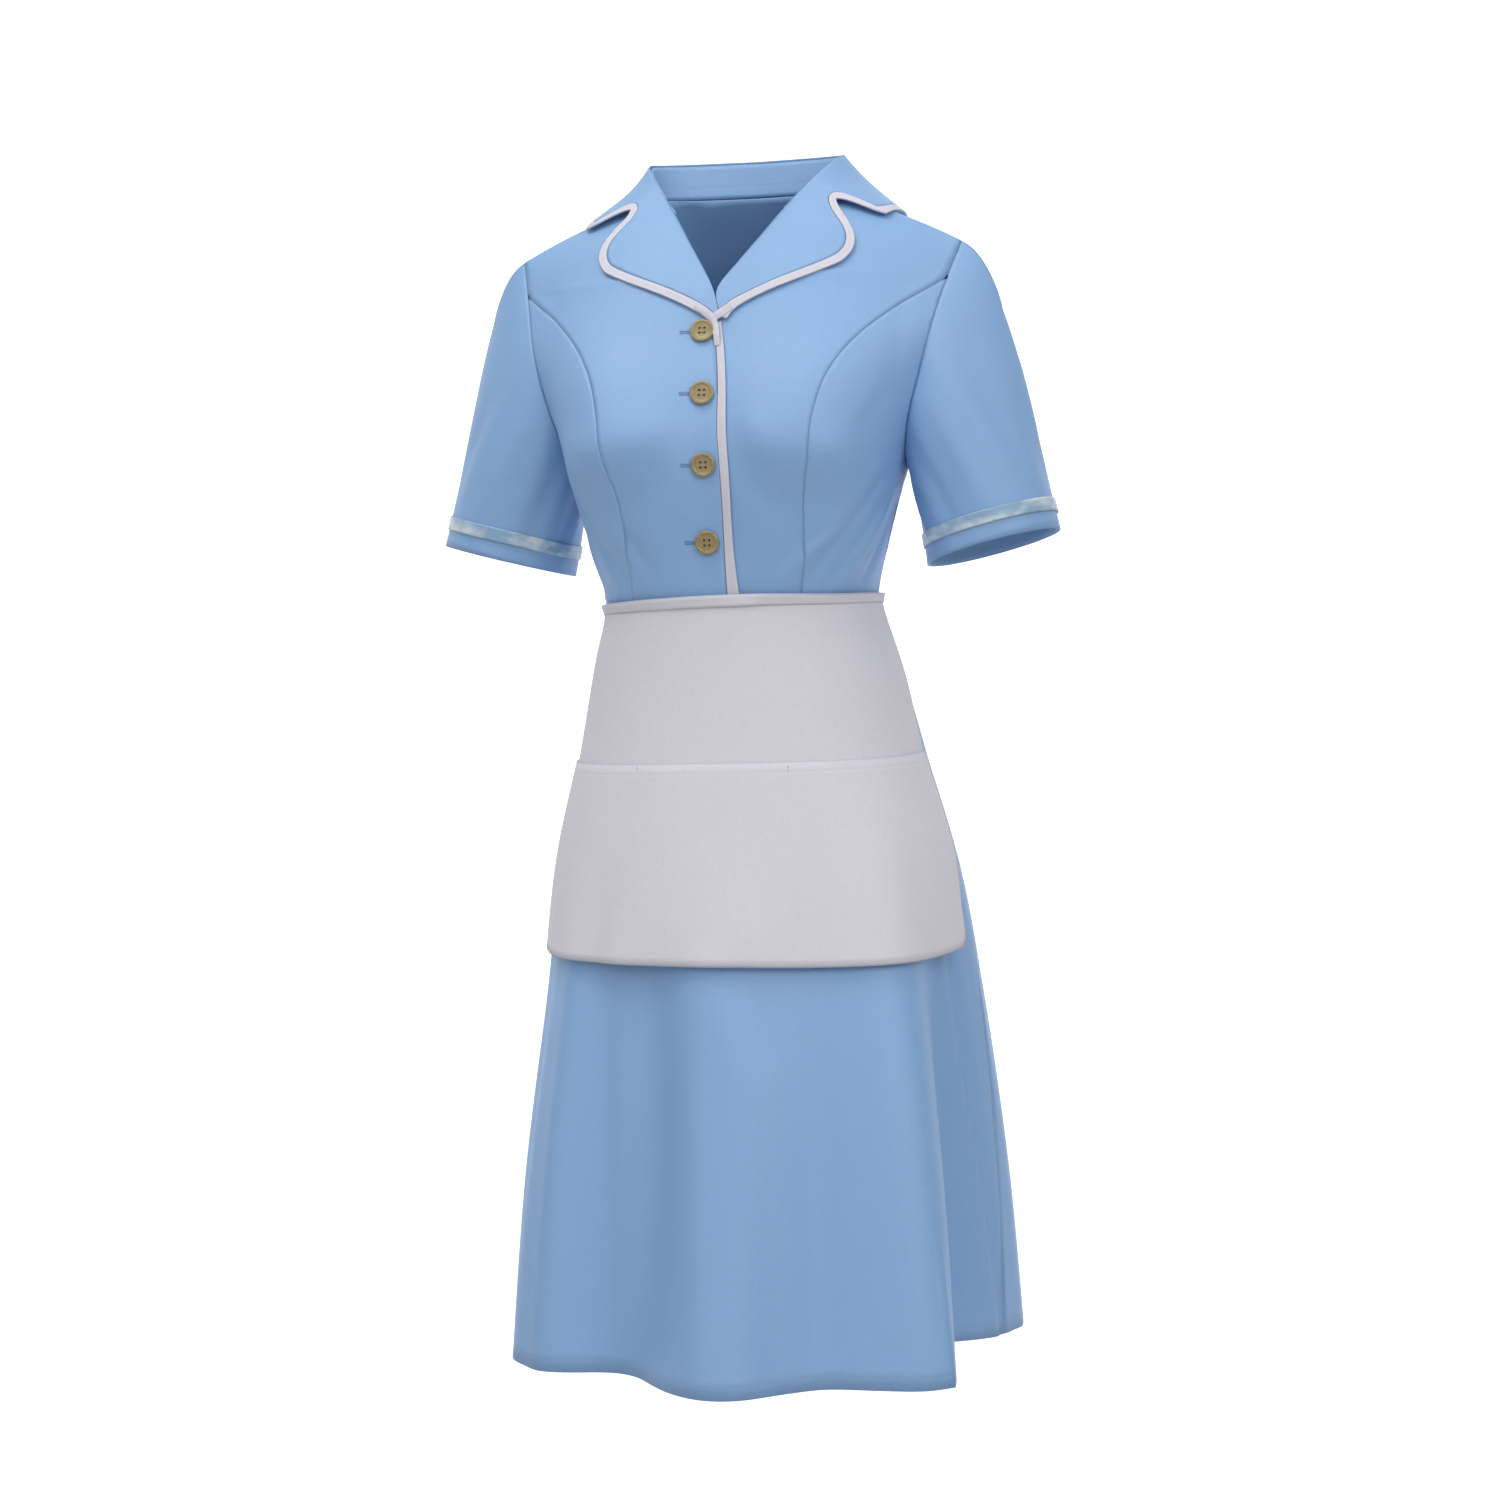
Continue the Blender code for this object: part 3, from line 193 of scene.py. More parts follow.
# Groups of nodes
BODICE = ("back", "front_centre_left", "front_centre_right", "front_side_left", "front_side_right")
SKIRT = ("skirt_front", "skirt_back")
APRON = ("apron_panel", "apron_pocket")
BANDS = (
    "apron_waistband", "apron_tie_left", "apron_tie_right", "apron_tail_left", "apron_tail_right",
)
SLEEVES = ("sleeve_left", "sleeve_right")
UNDER_APRON = ("skirt_front", "skirt_back", "back", "front_side_left", "front_side_right")
UNDER_STRIPS = (
    "collar_binding", "front_binding", "collar", "front_centre_left", "front_centre_right",
)

# Buttons: radius and height of each ring of the turned shape, from the back to the middle
BUTTON_PROFILE = (
    (0.0040, 0.00010), (0.0084, 0.00005), (0.0093, 0.00040), (0.00985, 0.00105),
    (0.00997, 0.00160), (0.00985, 0.00215), (0.00950, 0.00262), (0.00900, 0.00290),
    (0.00840, 0.00298), (0.00780, 0.00290), (0.00735, 0.00262), (0.00705, 0.00232),
    (0.00670, 0.00215), (0.00560, 0.00206), (0.00400, 0.00200),
)
BUTTON_SIDES = 64
BUTTON_FACE = 0.0020
HOLE_OFFSET = 0.0021
HOLE_RADIUS = 0.00102
BUTTON_SHARP = math.radians(38.0)
BUTTONS = 4
DRILL_SIDES = 20
DRILL_DEPTH = 0.010

# Thread through a button's holes
THREAD_RISE = 0.00010
THREAD_DIP = 0.0012
THREAD_STEPS = 4
STRAND_OFFSET = 0.00018
STRAND_RADIUS = 0.00013
STRAND_SIDES = 6
STRAND_END = 0.55

# Buttonhole: its stitches start on both sides of a slit, and reach further at the bar
HOLE_STITCHES = 34
BUTTONHOLE_START = -0.0185
BUTTONHOLE_END = 0.0030
SLIT_HALF = 0.00025
BAR_WIDTH = 0.0016
BAR_REACH = 0.0019
STITCH_REACH = 0.0015
STITCH_SHARES = (0.0, 0.3, 0.7, 1.0)
STITCH_LIFT = 0.00012
STITCH_ARCH = 0.0003
STITCH_RADIUS = 0.00021
STITCH_SIDES = 5
STITCH_START = 0.02
STITCH_DEPTH = 0.06

# Binding where the two sides of the collar meet at the top of the closing. Columns: x, z,
# half width
BINDING_TURN = (
    (-0.0139, -0.1201, 0.0033), (-0.0104, -0.1224, 0.0034), (-0.0066, -0.1248, 0.0034),
    (-0.0030, -0.1281, 0.0033), (0.0004, -0.1312, 0.0031), (0.0026, -0.1350, 0.0029),
    (0.0040, -0.1400, 0.0028), (0.0050, -0.1460, 0.0027), (0.0058, -0.1540, 0.0026),
)
BINDING_END = (
    (0.0149, -0.1208, 0.0033), (0.0102, -0.1246, 0.0034), (0.0055, -0.1278, 0.0034),
    (0.0016, -0.1300, 0.0032), (-0.0012, -0.1313, 0.0026),
)
TURN_LIFT = 0.0012
END_LIFT = 0.0006
STRIP_STEPS = 6
STRIP_SMOOTHING = 14
STRIP_REACH = 0.003
STRIP_SINK = 0.75
STRIP_SINK_SPAN = (0.7, 1.0)
STRIP_NEAR = 0.05
STRIP_SECTION = (
    (-1.0, 0.1), (-0.97, 0.7), (-0.85, 1.0), (0.0, 1.1), (0.85, 1.0), (0.97, 0.7), (1.0, 0.1),
    (0.9, -0.2), (-0.9, -0.2),
)

# Rays from in front of the dress: where they start, how far they go
FRONT_Y = -0.4
FRONT_DEPTH = 0.5
BACKWARD = Vector((0.0, 1.0, 0.0))

# Colours: middle, deep and pale tone of a cloth, then single colours and pairs of tones
BLUE = ((0.247, 0.446, 0.755, 1.0), (0.216, 0.404, 0.705, 1.0), (0.272, 0.476, 0.780, 1.0))
WHITE = ((0.730, 0.715, 0.780, 1.0), (0.675, 0.655, 0.735, 1.0), (0.770, 0.760, 0.810, 1.0))
TRIM = ((0.700, 0.682, 0.770, 1.0), (0.610, 0.592, 0.680, 1.0), (0.750, 0.735, 0.815, 1.0))
BLUE_THREAD = (0.300, 0.470, 0.700, 1.0)
WHITE_THREAD = (0.840, 0.835, 0.870, 1.0)
# Satin ribbon: tone of its painted shade and tone of its painted glints
SATIN_PAINTED_SHADE = (0.270, 0.430, 0.600, 1.0)
SATIN_PAINTED_GLINT = (0.620, 0.720, 0.770, 1.0)
KHAKI = ((0.235, 0.170, 0.066, 1.0), (0.40, 0.31, 0.150, 1.0))
FLOOR_TONES = ((0.56, 0.56, 0.565, 1.0), (0.60, 0.60, 0.605, 1.0))
THREADS = {
    "button_thread": ((0.20, 0.145, 0.060, 1.0), (0.34, 0.26, 0.130, 1.0)),
    "row_thread": ((0.36, 0.35, 0.42, 1.0), (0.48, 0.47, 0.54, 1.0)),
    "hole_thread": ((0.175, 0.320, 0.560, 1.0), (0.255, 0.430, 0.680, 1.0)),
}

# Woven cloths. Columns: name, tones, thread, width of a rib, distance of the stitching from the
# hem, sheen, roughness, specular level, strength of the painted shade along rims and seams
CLOTHS = {
    "blue": ("blue_cloth", BLUE, BLUE_THREAD, 0.0011, 0.0095, 0.24, 0.50, 0.85, 0.08),
    "white": ("white_cloth", WHITE, WHITE_THREAD, 0.0011, 0.0095, 0.20, 0.82, 0.3, 0.60),
    "trim": ("trim_cloth", TRIM, WHITE_THREAD, 0.0009, 0.0012, 0.15, 0.72, 0.3, 0.10),
}

# Details of the materials. Columns of a noise: scale, detail, roughness. Of a bump: distance,
# strength. Of a roughness: slope, lowest value
CLOTH_SHEEN_ROUGHNESS = 0.45
SLUB_NOISE = (900.0, 2.0)
WIDE_NOISE = (9.0, 4.0, 0.6)
FINE_NOISE = (160.0, 3.0)
RIB_NOISE = (430.0, 2.0, 0.7)
CRUMPLE_NOISE = (45.0, 4.0, 0.6)
PATCH_NOISE = (1.0, 3.0, 0.6)
FLOOR_SCALE = 1.5
GRAIN_BUMP = (0.00012, 0.35)
CRUMPLE_BUMP = (0.0005, 0.40)
RIBBON_BUMP = (0.00008, 0.3)
PATCH_BUMP = (0.0004, 0.5)
BUTTON_BUMP = (0.0001, 0.3)
THREAD_BUMP = (0.0001, 0.4)
TWILL_SLOPE = 1.0
TWILL_THREAD = 0.62
THREAD_HEIGHT = 0.35
TONE_WIDE = 0.8
TONE_FINE = 0.35
TONE_LOW = 0.12
BASE_SHARE = 0.55
RIB_CONTRAST = 0.16
RIB_SHADE = 0.80
RIB_SHARE = 0.5
# Painted shade along rims and seams: how dark its colour is and how far it reaches
RIM_SHADE = 0.70
RIM_SHADOW_REACH = 0.0012
DASH_LENGTH = 0.0028
DASH_SHARE = 0.72
SEWN_HALF = 0.00065
SEWN_SHARE = 0.65
SEWN_HEIGHT = 0.5
FURROW_HALF = 0.0022
FURROW_DEPTH = 0.6
EDGE_SLOPE = 1600.0
EDGE_HEIGHT = 0.4
SLUB_HEIGHT = 0.8
CRUMPLE_HEIGHT = 0.9
ROUGH_SPREAD = 0.14
SATIN_STRETCH = (28.0, 55.0, 1.0)
SATIN_STOPS = (0.42, 0.62)
SATIN_PITCH = 0.0006
SATIN_SLOPE = 0.15
SATIN_EDGE_SLOPE = 700.0
SATIN_ROUGH = (0.30, 0.22)
KHAKI_ROUGH = (0.22, 0.15)

# Floor: a round one whose rim turns up
FLOOR_Z = -1.46
FLOOR_RINGS = (1.5, 3.0, 4.0)
FLOOR_FLAT = 5.0
FLOOR_ASIDE = 3.0
FLOOR_SIDES = 128
SWEEP_RADIUS = 2.0
SWEEP_STEPS = 16
SWEEP_HEIGHT = 3.5

# Lights. Columns: name, place, target, size, power, colour
DRESS_MIDDLE = (0.0, 0.0, -0.40)
NEUTRAL = (1.0, 1.0, 1.0)
LIGHTS = (
    ("top", (-0.45, -0.95, 1.95), DRESS_MIDDLE, (1.7, 1.2), 25.0, (1.0, 0.99, 0.97)),
    ("front", (-1.10, -3.20, 0.60), DRESS_MIDDLE, (2.2, 2.0), 15.0, NEUTRAL),
    ("right", (2.20, -2.20, 0.90), DRESS_MIDDLE, (2.0, 1.6), 30.0, NEUTRAL),
    ("back", (0.60, 2.60, 1.20), DRESS_MIDDLE, (2.0, 1.5), 10.0, NEUTRAL),
    ("wall", (-0.60, 2.00, 1.6), (-1.1, 4.2, -0.3), (5.0, 1.5), 210.0, NEUTRAL),
)
WORLD_COLOUR = (0.96, 0.975, 1.0, 1.0)
WORLD_STRENGTH = 0.56

# Camera
CAMERA_AZIMUTH = math.radians(15.0)
CAMERA_ROLL = math.radians(0.8)
CAMERA_DISTANCE = 2.987
CAMERA_ASIDE = -0.0005
CAMERA_Z = -0.4796
FOCAL_PIXELS = 3581.0
IMAGE_PIXELS = 1500.0
SENSOR_MM = 36.0

# Guard against a division by zero
TINY = 1e-12


def unit(vectors):
    return vectors / np.maximum(np.linalg.norm(vectors, axis=-1, keepdims=True), TINY)


def smooth_step(low, high, values):
    share = np.clip((values - low) / (high - low), 0.0, 1.0)
    return share * share * (3.0 - 2.0 * share)


def points_of(item):
    values = np.empty(len(item.data.vertices) * 3)
    item.data.vertices.foreach_get("co", values)
    return values.reshape(-1, 3)


def set_points(item, points):
    item.data.vertices.foreach_set("co", points.ravel())
    item.data.update()


def link(item):
    bpy.context.scene.collection.objects.link(item)
    return item


def object_of(shape, name):
    """An object with the mesh of a bmesh, which is freed."""
    mesh = bpy.data.meshes.new(name)
    shape.to_mesh(mesh)
    shape.free()
    return link(bpy.data.objects.new(name, mesh))


def surface_of(*items):
    """Search tree over the meshes of some pieces."""
    shape = bmesh.new()
    for item in items:
        shape.from_mesh(item.data)
    tree = BVHTree.FromBMesh(shape)
    shape.free()
    return tree


def apply_modifiers(item):
    bpy.context.view_layer.update()
    graph = bpy.context.evaluated_depsgraph_get()
    item.data = bpy.data.meshes.new_from_object(item.evaluated_get(graph), depsgraph=graph)
    item.modifiers.clear()


def join_rings(shape, rings, closed=True):
    """Faces between each ring of points and the next, and over the first and last ring."""
    for low, high in zip(rings, rings[1:]):
        for k in range(len(low)):
            after = (k + 1) % len(low)
            shape.faces.new((low[k], low[after], high[after], high[k]))
    shape.faces.new(reversed(rings[0]))
    if closed:
        shape.faces.new(rings[-1])


def circle(radius, sides):
    turns = [2 * math.pi * k / sides for k in range(sides)]
    return [(radius * math.cos(turn), radius * math.sin(turn)) for turn in turns]


def finer(node):
    """A smooth, finer copy of a node's wall, with its edges kept crisp."""
    source = NODES[node]
    shape = bmesh.new()
    shape.from_mesh(source.data)
    bmesh.ops.remove_doubles(shape, verts=shape.verts, dist=WELD)
    bmesh.ops.join_triangles(
        shape, faces=shape.faces, angle_face_threshold=QUAD_ANGLE, angle_shape_threshold=QUAD_SKEW,
    )
    crease = shape.edges.layers.float.new("crease_edge")
    for edge in shape.edges:
        if len(edge.link_faces) == 2 and edge.calc_face_angle(0.0) > SHARP_ANGLE:
            edge[crease] = 1.0
    item = object_of(shape, node + "_cloth")
    item.matrix_world = source.matrix_world
    step = item.modifiers.new("finer", "SUBSURF")
    step.levels = FINE_LEVELS
    step.render_levels = FINE_LEVELS
    step.boundary_smooth = "PRESERVE_CORNERS"
    apply_modifiers(item)
    item.data.shade_smooth()
    item.data.set_sharp_from_angle(angle=SHARP_ANGLE)
    return item


def crease_heights(rows, angle, reach, along):
    """Height of the creases of a table on a tube of cloth, at points given by their angle, their
    distance from its axis and their place along it."""
    total = np.zeros_like(angle)
    for first, start, last, end, width, height in rows:
        turn = (angle - math.radians((first + last) / 2) + np.pi) % (2 * np.pi) - np.pi
        part = np.clip((along - start) / (end - start), 0.0, 1.0)
        across = (turn - math.radians(last - first) / 2 * (2 * part - 1)) * reach
        aside = across * math.copysign(1.0, end - start) / width
        section = np.exp(-(aside ** 2)) - BANK_HEIGHT * np.exp(-((aside - BANK_PLACE) ** 2))
        total += height * section * np.sin(np.pi * part) ** CREASE_TAPER
    return total


def soft_noise(points, scale, stretch):
    """Slow, even noise from -1 to 1, drawn out along the height."""
    return np.array([
        noise.noise((p[0] / scale, p[1] / scale, p[2] / (scale * stretch))) for p in points
    ])


def body_field(points, bodice=None):
    """Outward moves of cloth on bodice, skirt and apron."""
    x, y, z = points.T
    angle = np.arctan2(x, -y)
    total = crease_heights(BODY_CREASES, angle, np.hypot(x, y), z)
    uneven = BODY_UNEVEN + SKIRT_UNEVEN * smooth_step(*SKIRT_SPAN, z)
    total += soft_noise(points, *BODY_NOISE) * uneven
    total += bust_shape(points)
    closing = np.exp(-((x / CLOSING_HALF) ** 4)) * (y < 0) * smooth_step(*CLOSING_SPAN, z)
    armhole = smooth_step(*ARMHOLE_SIDE, np.abs(x)) * smooth_step(*ARMHOLE_SPAN, z)
    total *= (1 - closing) * (1 - smooth_step(*NECK_SPAN, z)) * (1 - armhole)
    if bodice is not None:
        total += bodice.at(points) * (1 - closing)
    outward = np.stack((np.sin(angle), -np.cos(angle), np.zeros_like(angle)), axis=1)
    return outward * total[:, None]


def blurred(values, across, along):
    """Gaussian blur of a grid, with its own half widths in cells along each axis."""
    result = values
    for axis, width in ((0, across), (1, along)):
        reach = math.ceil(3 * width)
        weights = np.exp(-0.5 * (np.arange(-reach, reach + 1) / width) ** 2)
        weights /= weights.sum()
        padded = np.pad(result, [(reach, reach) if k == axis else (0, 0) for k in (0, 1)], "edge")
        result = sum(
            weight * np.take(padded, range(k, k + result.shape[axis]), axis)
            for k, weight in enumerate(weights)
        )
    return result


class Bodice:
    """Smoothing of the bodice across its panel seams, as outward moves by angle and height."""

    def __init__(self, items):
        tree = surface_of(*items)
        turns = np.arange(-SMOOTH_ANGLE, SMOOTH_ANGLE + SMOOTH_TURN / 2, SMOOTH_TURN)
        self.angles = np.radians(turns)
        self.levels = np.arange(SMOOTH_LOW, SMOOTH_HIGH, SMOOTH_RISE)
        reach = np.full((len(self.angles), len(self.levels)), np.nan)
        for row, angle in enumerate(self.angles):
            out = Vector((math.sin(angle), -math.cos(angle), 0.0))
            for column, level in enumerate(self.levels):
                start = out * SMOOTH_START + Vector((0.0, 0.0, level))
                hit = tree.ray_cast(start, -out, SMOOTH_DEPTH)[0]
                if hit is not None:
                    reach[row, column] = math.hypot(hit.x, hit.y)
        sound = ~np.isnan(reach)
        filled = np.where(sound, reach, 0.0)
        for axis in (0, 1):
            step = np.abs(np.diff(filled, axis=axis)) > SMOOTH_JUMP
            for end in (0, step.shape[axis]):
                sound &= ~np.insert(step, end, False, axis=axis)
        weight = blurred(sound.astype(float), *SMOOTH_BLUR)
        even = blurred(np.where(sound, filled, 0.0), *SMOOTH_BLUR) / np.maximum(weight, FAINT)
        self.moves = np.where(sound, (even - filled) * smooth_step(*SMOOTH_FADE, weight), 0.0)

    def at(self, points):
        """Moves at points, between those of the grid."""
        angle = np.arctan2(points[:, 0], -points[:, 1])
        across = (angle - self.angles[0]) / (self.angles[1] - self.angles[0])
        along = (points[:, 2] - self.levels[0]) / (self.levels[1] - self.levels[0])
        rows, columns = self.moves.shape
        inside = (across > 0) & (across < rows - 1) & (along > 0) & (along < columns - 1)
        i = np.clip(across.astype(int), 0, rows - 2)
        j = np.clip(along.astype(int), 0, columns - 2)
        s, t = across - i, along - j
        low = self.moves[i, j] * (1 - s) + self.moves[i + 1, j] * s
        high = self.moves[i, j + 1] * (1 - s) + self.moves[i + 1, j + 1] * s
        return np.where(inside, low * (1 - t) + high * t, 0.0)


def bust_shape(points):
    """A fuller, crisper turn of the front from the chest to the waist."""
    x, y, z = points.T
    level = SHELF_CENTRE - SHELF_DIP * smooth_step(*SHELF_DIP_SPAN, np.abs(x))
    level = level - SHELF_LEFT * smooth_step(*SHELF_LEFT_SPAN, x)
    above = np.exp(-(((z - level) / SHELF_HALF) ** 2))
    below = np.exp(-(((z - level + SHELF_STEP) / SHELF_HALF) ** 2))
    reach = 1 - smooth_step(*SHELF_SIDE, np.abs(x))
    return (SHELF_RISE * above - SHELF_FALL * below) * reach * (y < 0)


def seen_from_sleeve(points):
    """Mirror that turns a sleeve into the left one, and there the points' angle round its axis,
    their way down it and their offset from it."""
    mirror = np.array((-1.0 if points[:, 0].mean() < 0 else 1.0, 1.0, 1.0))
    down = unit(SLEEVE_END - SLEEVE_TOP)
    out = unit(np.array((1.0, 0.0, 0.0)) - down * down[0])
    front = np.cross(down, out)
    local = points * mirror - SLEEVE_TOP
    way = local @ down
    radial = local - np.outer(way, down)
    return mirror, np.arctan2(radial @ front, radial @ out), way, radial


def sleeve_field(points, side):
    """Outward moves of the cloth of one sleeve."""
    mirror, angle, way, radial = seen_from_sleeve(points)
    share = way / np.linalg.norm(SLEEVE_END - SLEEVE_TOP)
    total = crease_heights(SLEEVE_CREASES[side], angle, np.linalg.norm(radial, axis=1), share)
    total += soft_noise(points, *SLEEVE_NOISE) * SLEEVE_UNEVEN
    total *= smooth_step(*SLEEVE_SPAN, share + SLEEVE_HEAD * np.cos(angle))
    return unit(radial) * total[:, None] * mirror


def close_seams(items):
    """Draws cut edges that meet at a seam together, so that only a fine line is left."""
    trees = {item.name: surface_of(item) for item in items}
    for item in items:
        edges = np.empty(len(item.data.vertices))
        item.data.attributes["edge"].data.foreach_get("value", edges)
        points = points_of(item)
        for index in np.flatnonzero(edges < SEAM_EDGE):
            place = Vector(points[index])
            nearest = None
            for name, tree in trees.items():
                if name == item.name:
                    continue
                hit, _, _, distance = tree.find_nearest(place, SEAM_REACH)
                if hit is not None and (nearest is None or distance < nearest[1]):
                    nearest = (hit, distance)
            if nearest is not None:
                points[index] += np.array(nearest[0] - place) * SEAM_DRAW
        set_points(item, points)


def rim_points(mesh, chosen):
    """Points along the thin edge faces of a wall, those that a test of their normal chooses."""
    shape = bmesh.new()
    shape.from_mesh(mesh)
    samples = []
    for edge in shape.edges:
        if len(edge.link_faces) != 2 or edge.calc_face_angle(0.0) < SHARP_ANGLE:
            continue
        if not chosen(min(edge.link_faces, key=lambda face: face.calc_area()).normal):
            continue
        start, end = (vertex.co for vertex in edge.verts)
        count = max(1, math.ceil((end - start).length / RIM_STEP))
        samples.extend(start.lerp(end, k / count) for k in range(count + 1))
    shape.free()
    return samples


def any_rim(normal):
    return True


def hem_below(normal):
    return normal.z < -HEM_SLOPE


def hem_above(normal):
    return normal.z > HEM_SLOPE


def tie_top(normal):
    return normal.z > TIE_SLOPE


def upright_rim(normal):
    return abs(normal.z) < SIDE_SLOPE


def point_tree(samples):
    tree = KDTree(len(samples))
    for index, point in enumerate(samples):
        tree.insert(point, index)
    tree.balance()
    return tree


def write_distances(item, hem):
    """Stores how far each vertex lies from any rim and from the hem as named values."""
    mesh = item.data
    for name, chosen in (("edge", any_rim), ("hem", hem)):
        samples = rim_points(mesh, chosen)
        tree = point_tree(samples)
        values = [
            min(tree.find(vertex.co)[2], FAR_FROM_RIM) if samples else FAR_FROM_RIM
            for vertex in mesh.vertices
        ]
        mesh.attributes.new(name, "FLOAT", "POINT").data.foreach_set("value", values)


def whole_numbers(items, name):
    values = np.empty(len(items), dtype=np.int64)
    items.foreach_get(name, values)
    return values


def write_weave(item, axis="body"):
    """UV map in metres, round the cloth and up it, for the weave."""
    points = points_of(item)
    if axis == "body":
        angle = np.arctan2(points[:, 0], -points[:, 1])
        height = points[:, 2]
    else:
        mirror, angle, way, _ = seen_from_sleeve(points)
        angle = angle * mirror[0]
        height = -way
    around = angle * WEAVE_RADIUS[axis]
    wrap = WEAVE_RADIUS[axis] * 2 * math.pi
    mesh = item.data
    layer = mesh.uv_layers.new(name="weave")
    corner = whole_numbers(mesh.loops, "vertex_index")
    starts = whole_numbers(mesh.polygons, "loop_start")
    totals = whole_numbers(mesh.polygons, "loop_total")
    spread = np.repeat(around[corner[starts]], totals)
    order = np.concatenate([np.arange(s, s + n) for s, n in zip(starts, totals)])
    values = around[corner]
    shift = np.zeros_like(values)
    shift[order] = np.round((spread - values[order]) / wrap) * wrap
    uv = np.stack((values + shift, height[corner]), axis=1)
    layer.data.foreach_set("uv", uv.ravel())


class Look:
    """Short forms for building a material's node tree."""

    def __init__(self, name, roughness, sheen=0.0, sheen_roughness=0.5, specular=0.5):
        self.material = bpy.data.materials.new(name)
        self.material.use_nodes = True
        self.tree = self.material.node_tree
        self.shader = self.tree.nodes["Principled BSDF"]
        self.shader.inputs["Roughness"].default_value = roughness
        self.shader.inputs["Sheen Weight"].default_value = sheen
        self.shader.inputs["Sheen Roughness"].default_value = sheen_roughness
        self.shader.inputs["Specular IOR Level"].default_value = specular
        self.place = self.new("ShaderNodeTexCoord").outputs["Object"]

    def new(self, kind, **values):
        node = self.tree.nodes.new(kind)
        for name, value in values.items():
            self.feed(node.inputs[name], value)
        return node

    def feed(self, target, value):
        """Links an output to an input, or sets the input to a constant."""
        if isinstance(value, bpy.types.NodeSocket):
            self.tree.links.new(value, target)
        else:
            target.default_value = value

    def finish(self, colour, roughness=None, normal=None):
        for name, value in (("Base Color", colour), ("Roughness", roughness), ("Normal", normal)):
            if value is not None:
                self.feed(self.shader.inputs[name], value)
        return self.material

    def math(self, operation, *values, clamp=False):
        node = self.new("ShaderNodeMath")
        node.operation = operation
        node.use_clamp = clamp
        for target, value in zip(node.inputs, values):
            self.feed(target, value)
        return node.outputs[0]

    def value(self, name):
        node = self.new("ShaderNodeAttribute")
        node.attribute_name = name
        return node.outputs["Fac"]

    def weave(self):
        node = self.new("ShaderNodeUVMap")
        node.uv_map = "weave"
        return node.outputs["UV"]

    def band(self, source, centre, half_width):
        """1 on a line where a value is near its centre, falling to 0 beside it."""
        off = self.math("ABSOLUTE", self.math("SUBTRACT", source, centre))
        return self.math("SUBTRACT", 1.0, self.math("DIVIDE", off, half_width), clamp=True)

    def noise(self, scale, detail=3.0, roughness=0.55, place=None):
        return self.new(
            "ShaderNodeTexNoise", Scale=scale, Detail=detail, Roughness=roughness,
            Vector=place or self.place,
        ).outputs["Fac"]

    def colour(self, factor, first, second):
        node = self.new("ShaderNodeMix")
        node.data_type = "RGBA"
        for index, value in ((0, factor), (6, first), (7, second)):
            self.feed(node.inputs[index], value)
        return node.outputs[2]

    def bump(self, height, distance, strength, under=None):
        node = self.new("ShaderNodeBump", Distance=distance, Strength=strength, Height=height)
        if under is not None:
            self.feed(node.inputs["Normal"], under)
        return node.outputs["Normal"]


def weave_lines(look, pitch, slope):
    """Diagonal ribs of a twill, broken up into threads, and the two ways along the cloth."""
    split = look.new("ShaderNodeSeparateXYZ", Vector=look.weave())
    around, along = split.outputs["X"], split.outputs["Y"]
    rib = look.math("MULTIPLY_ADD", along, slope, around)
    rib = look.math("SINE", look.math("MULTIPLY", rib, 2 * math.pi / pitch))
    turns = look.math("MULTIPLY", around, 2 * math.pi / (pitch * TWILL_THREAD))
    height = look.math("MULTIPLY_ADD", look.math("SINE", turns), THREAD_HEIGHT, rib)
    return height, around, along


def darker(colour, share):
    return tuple(share * c for c in colour[:3]) + (1.0,)


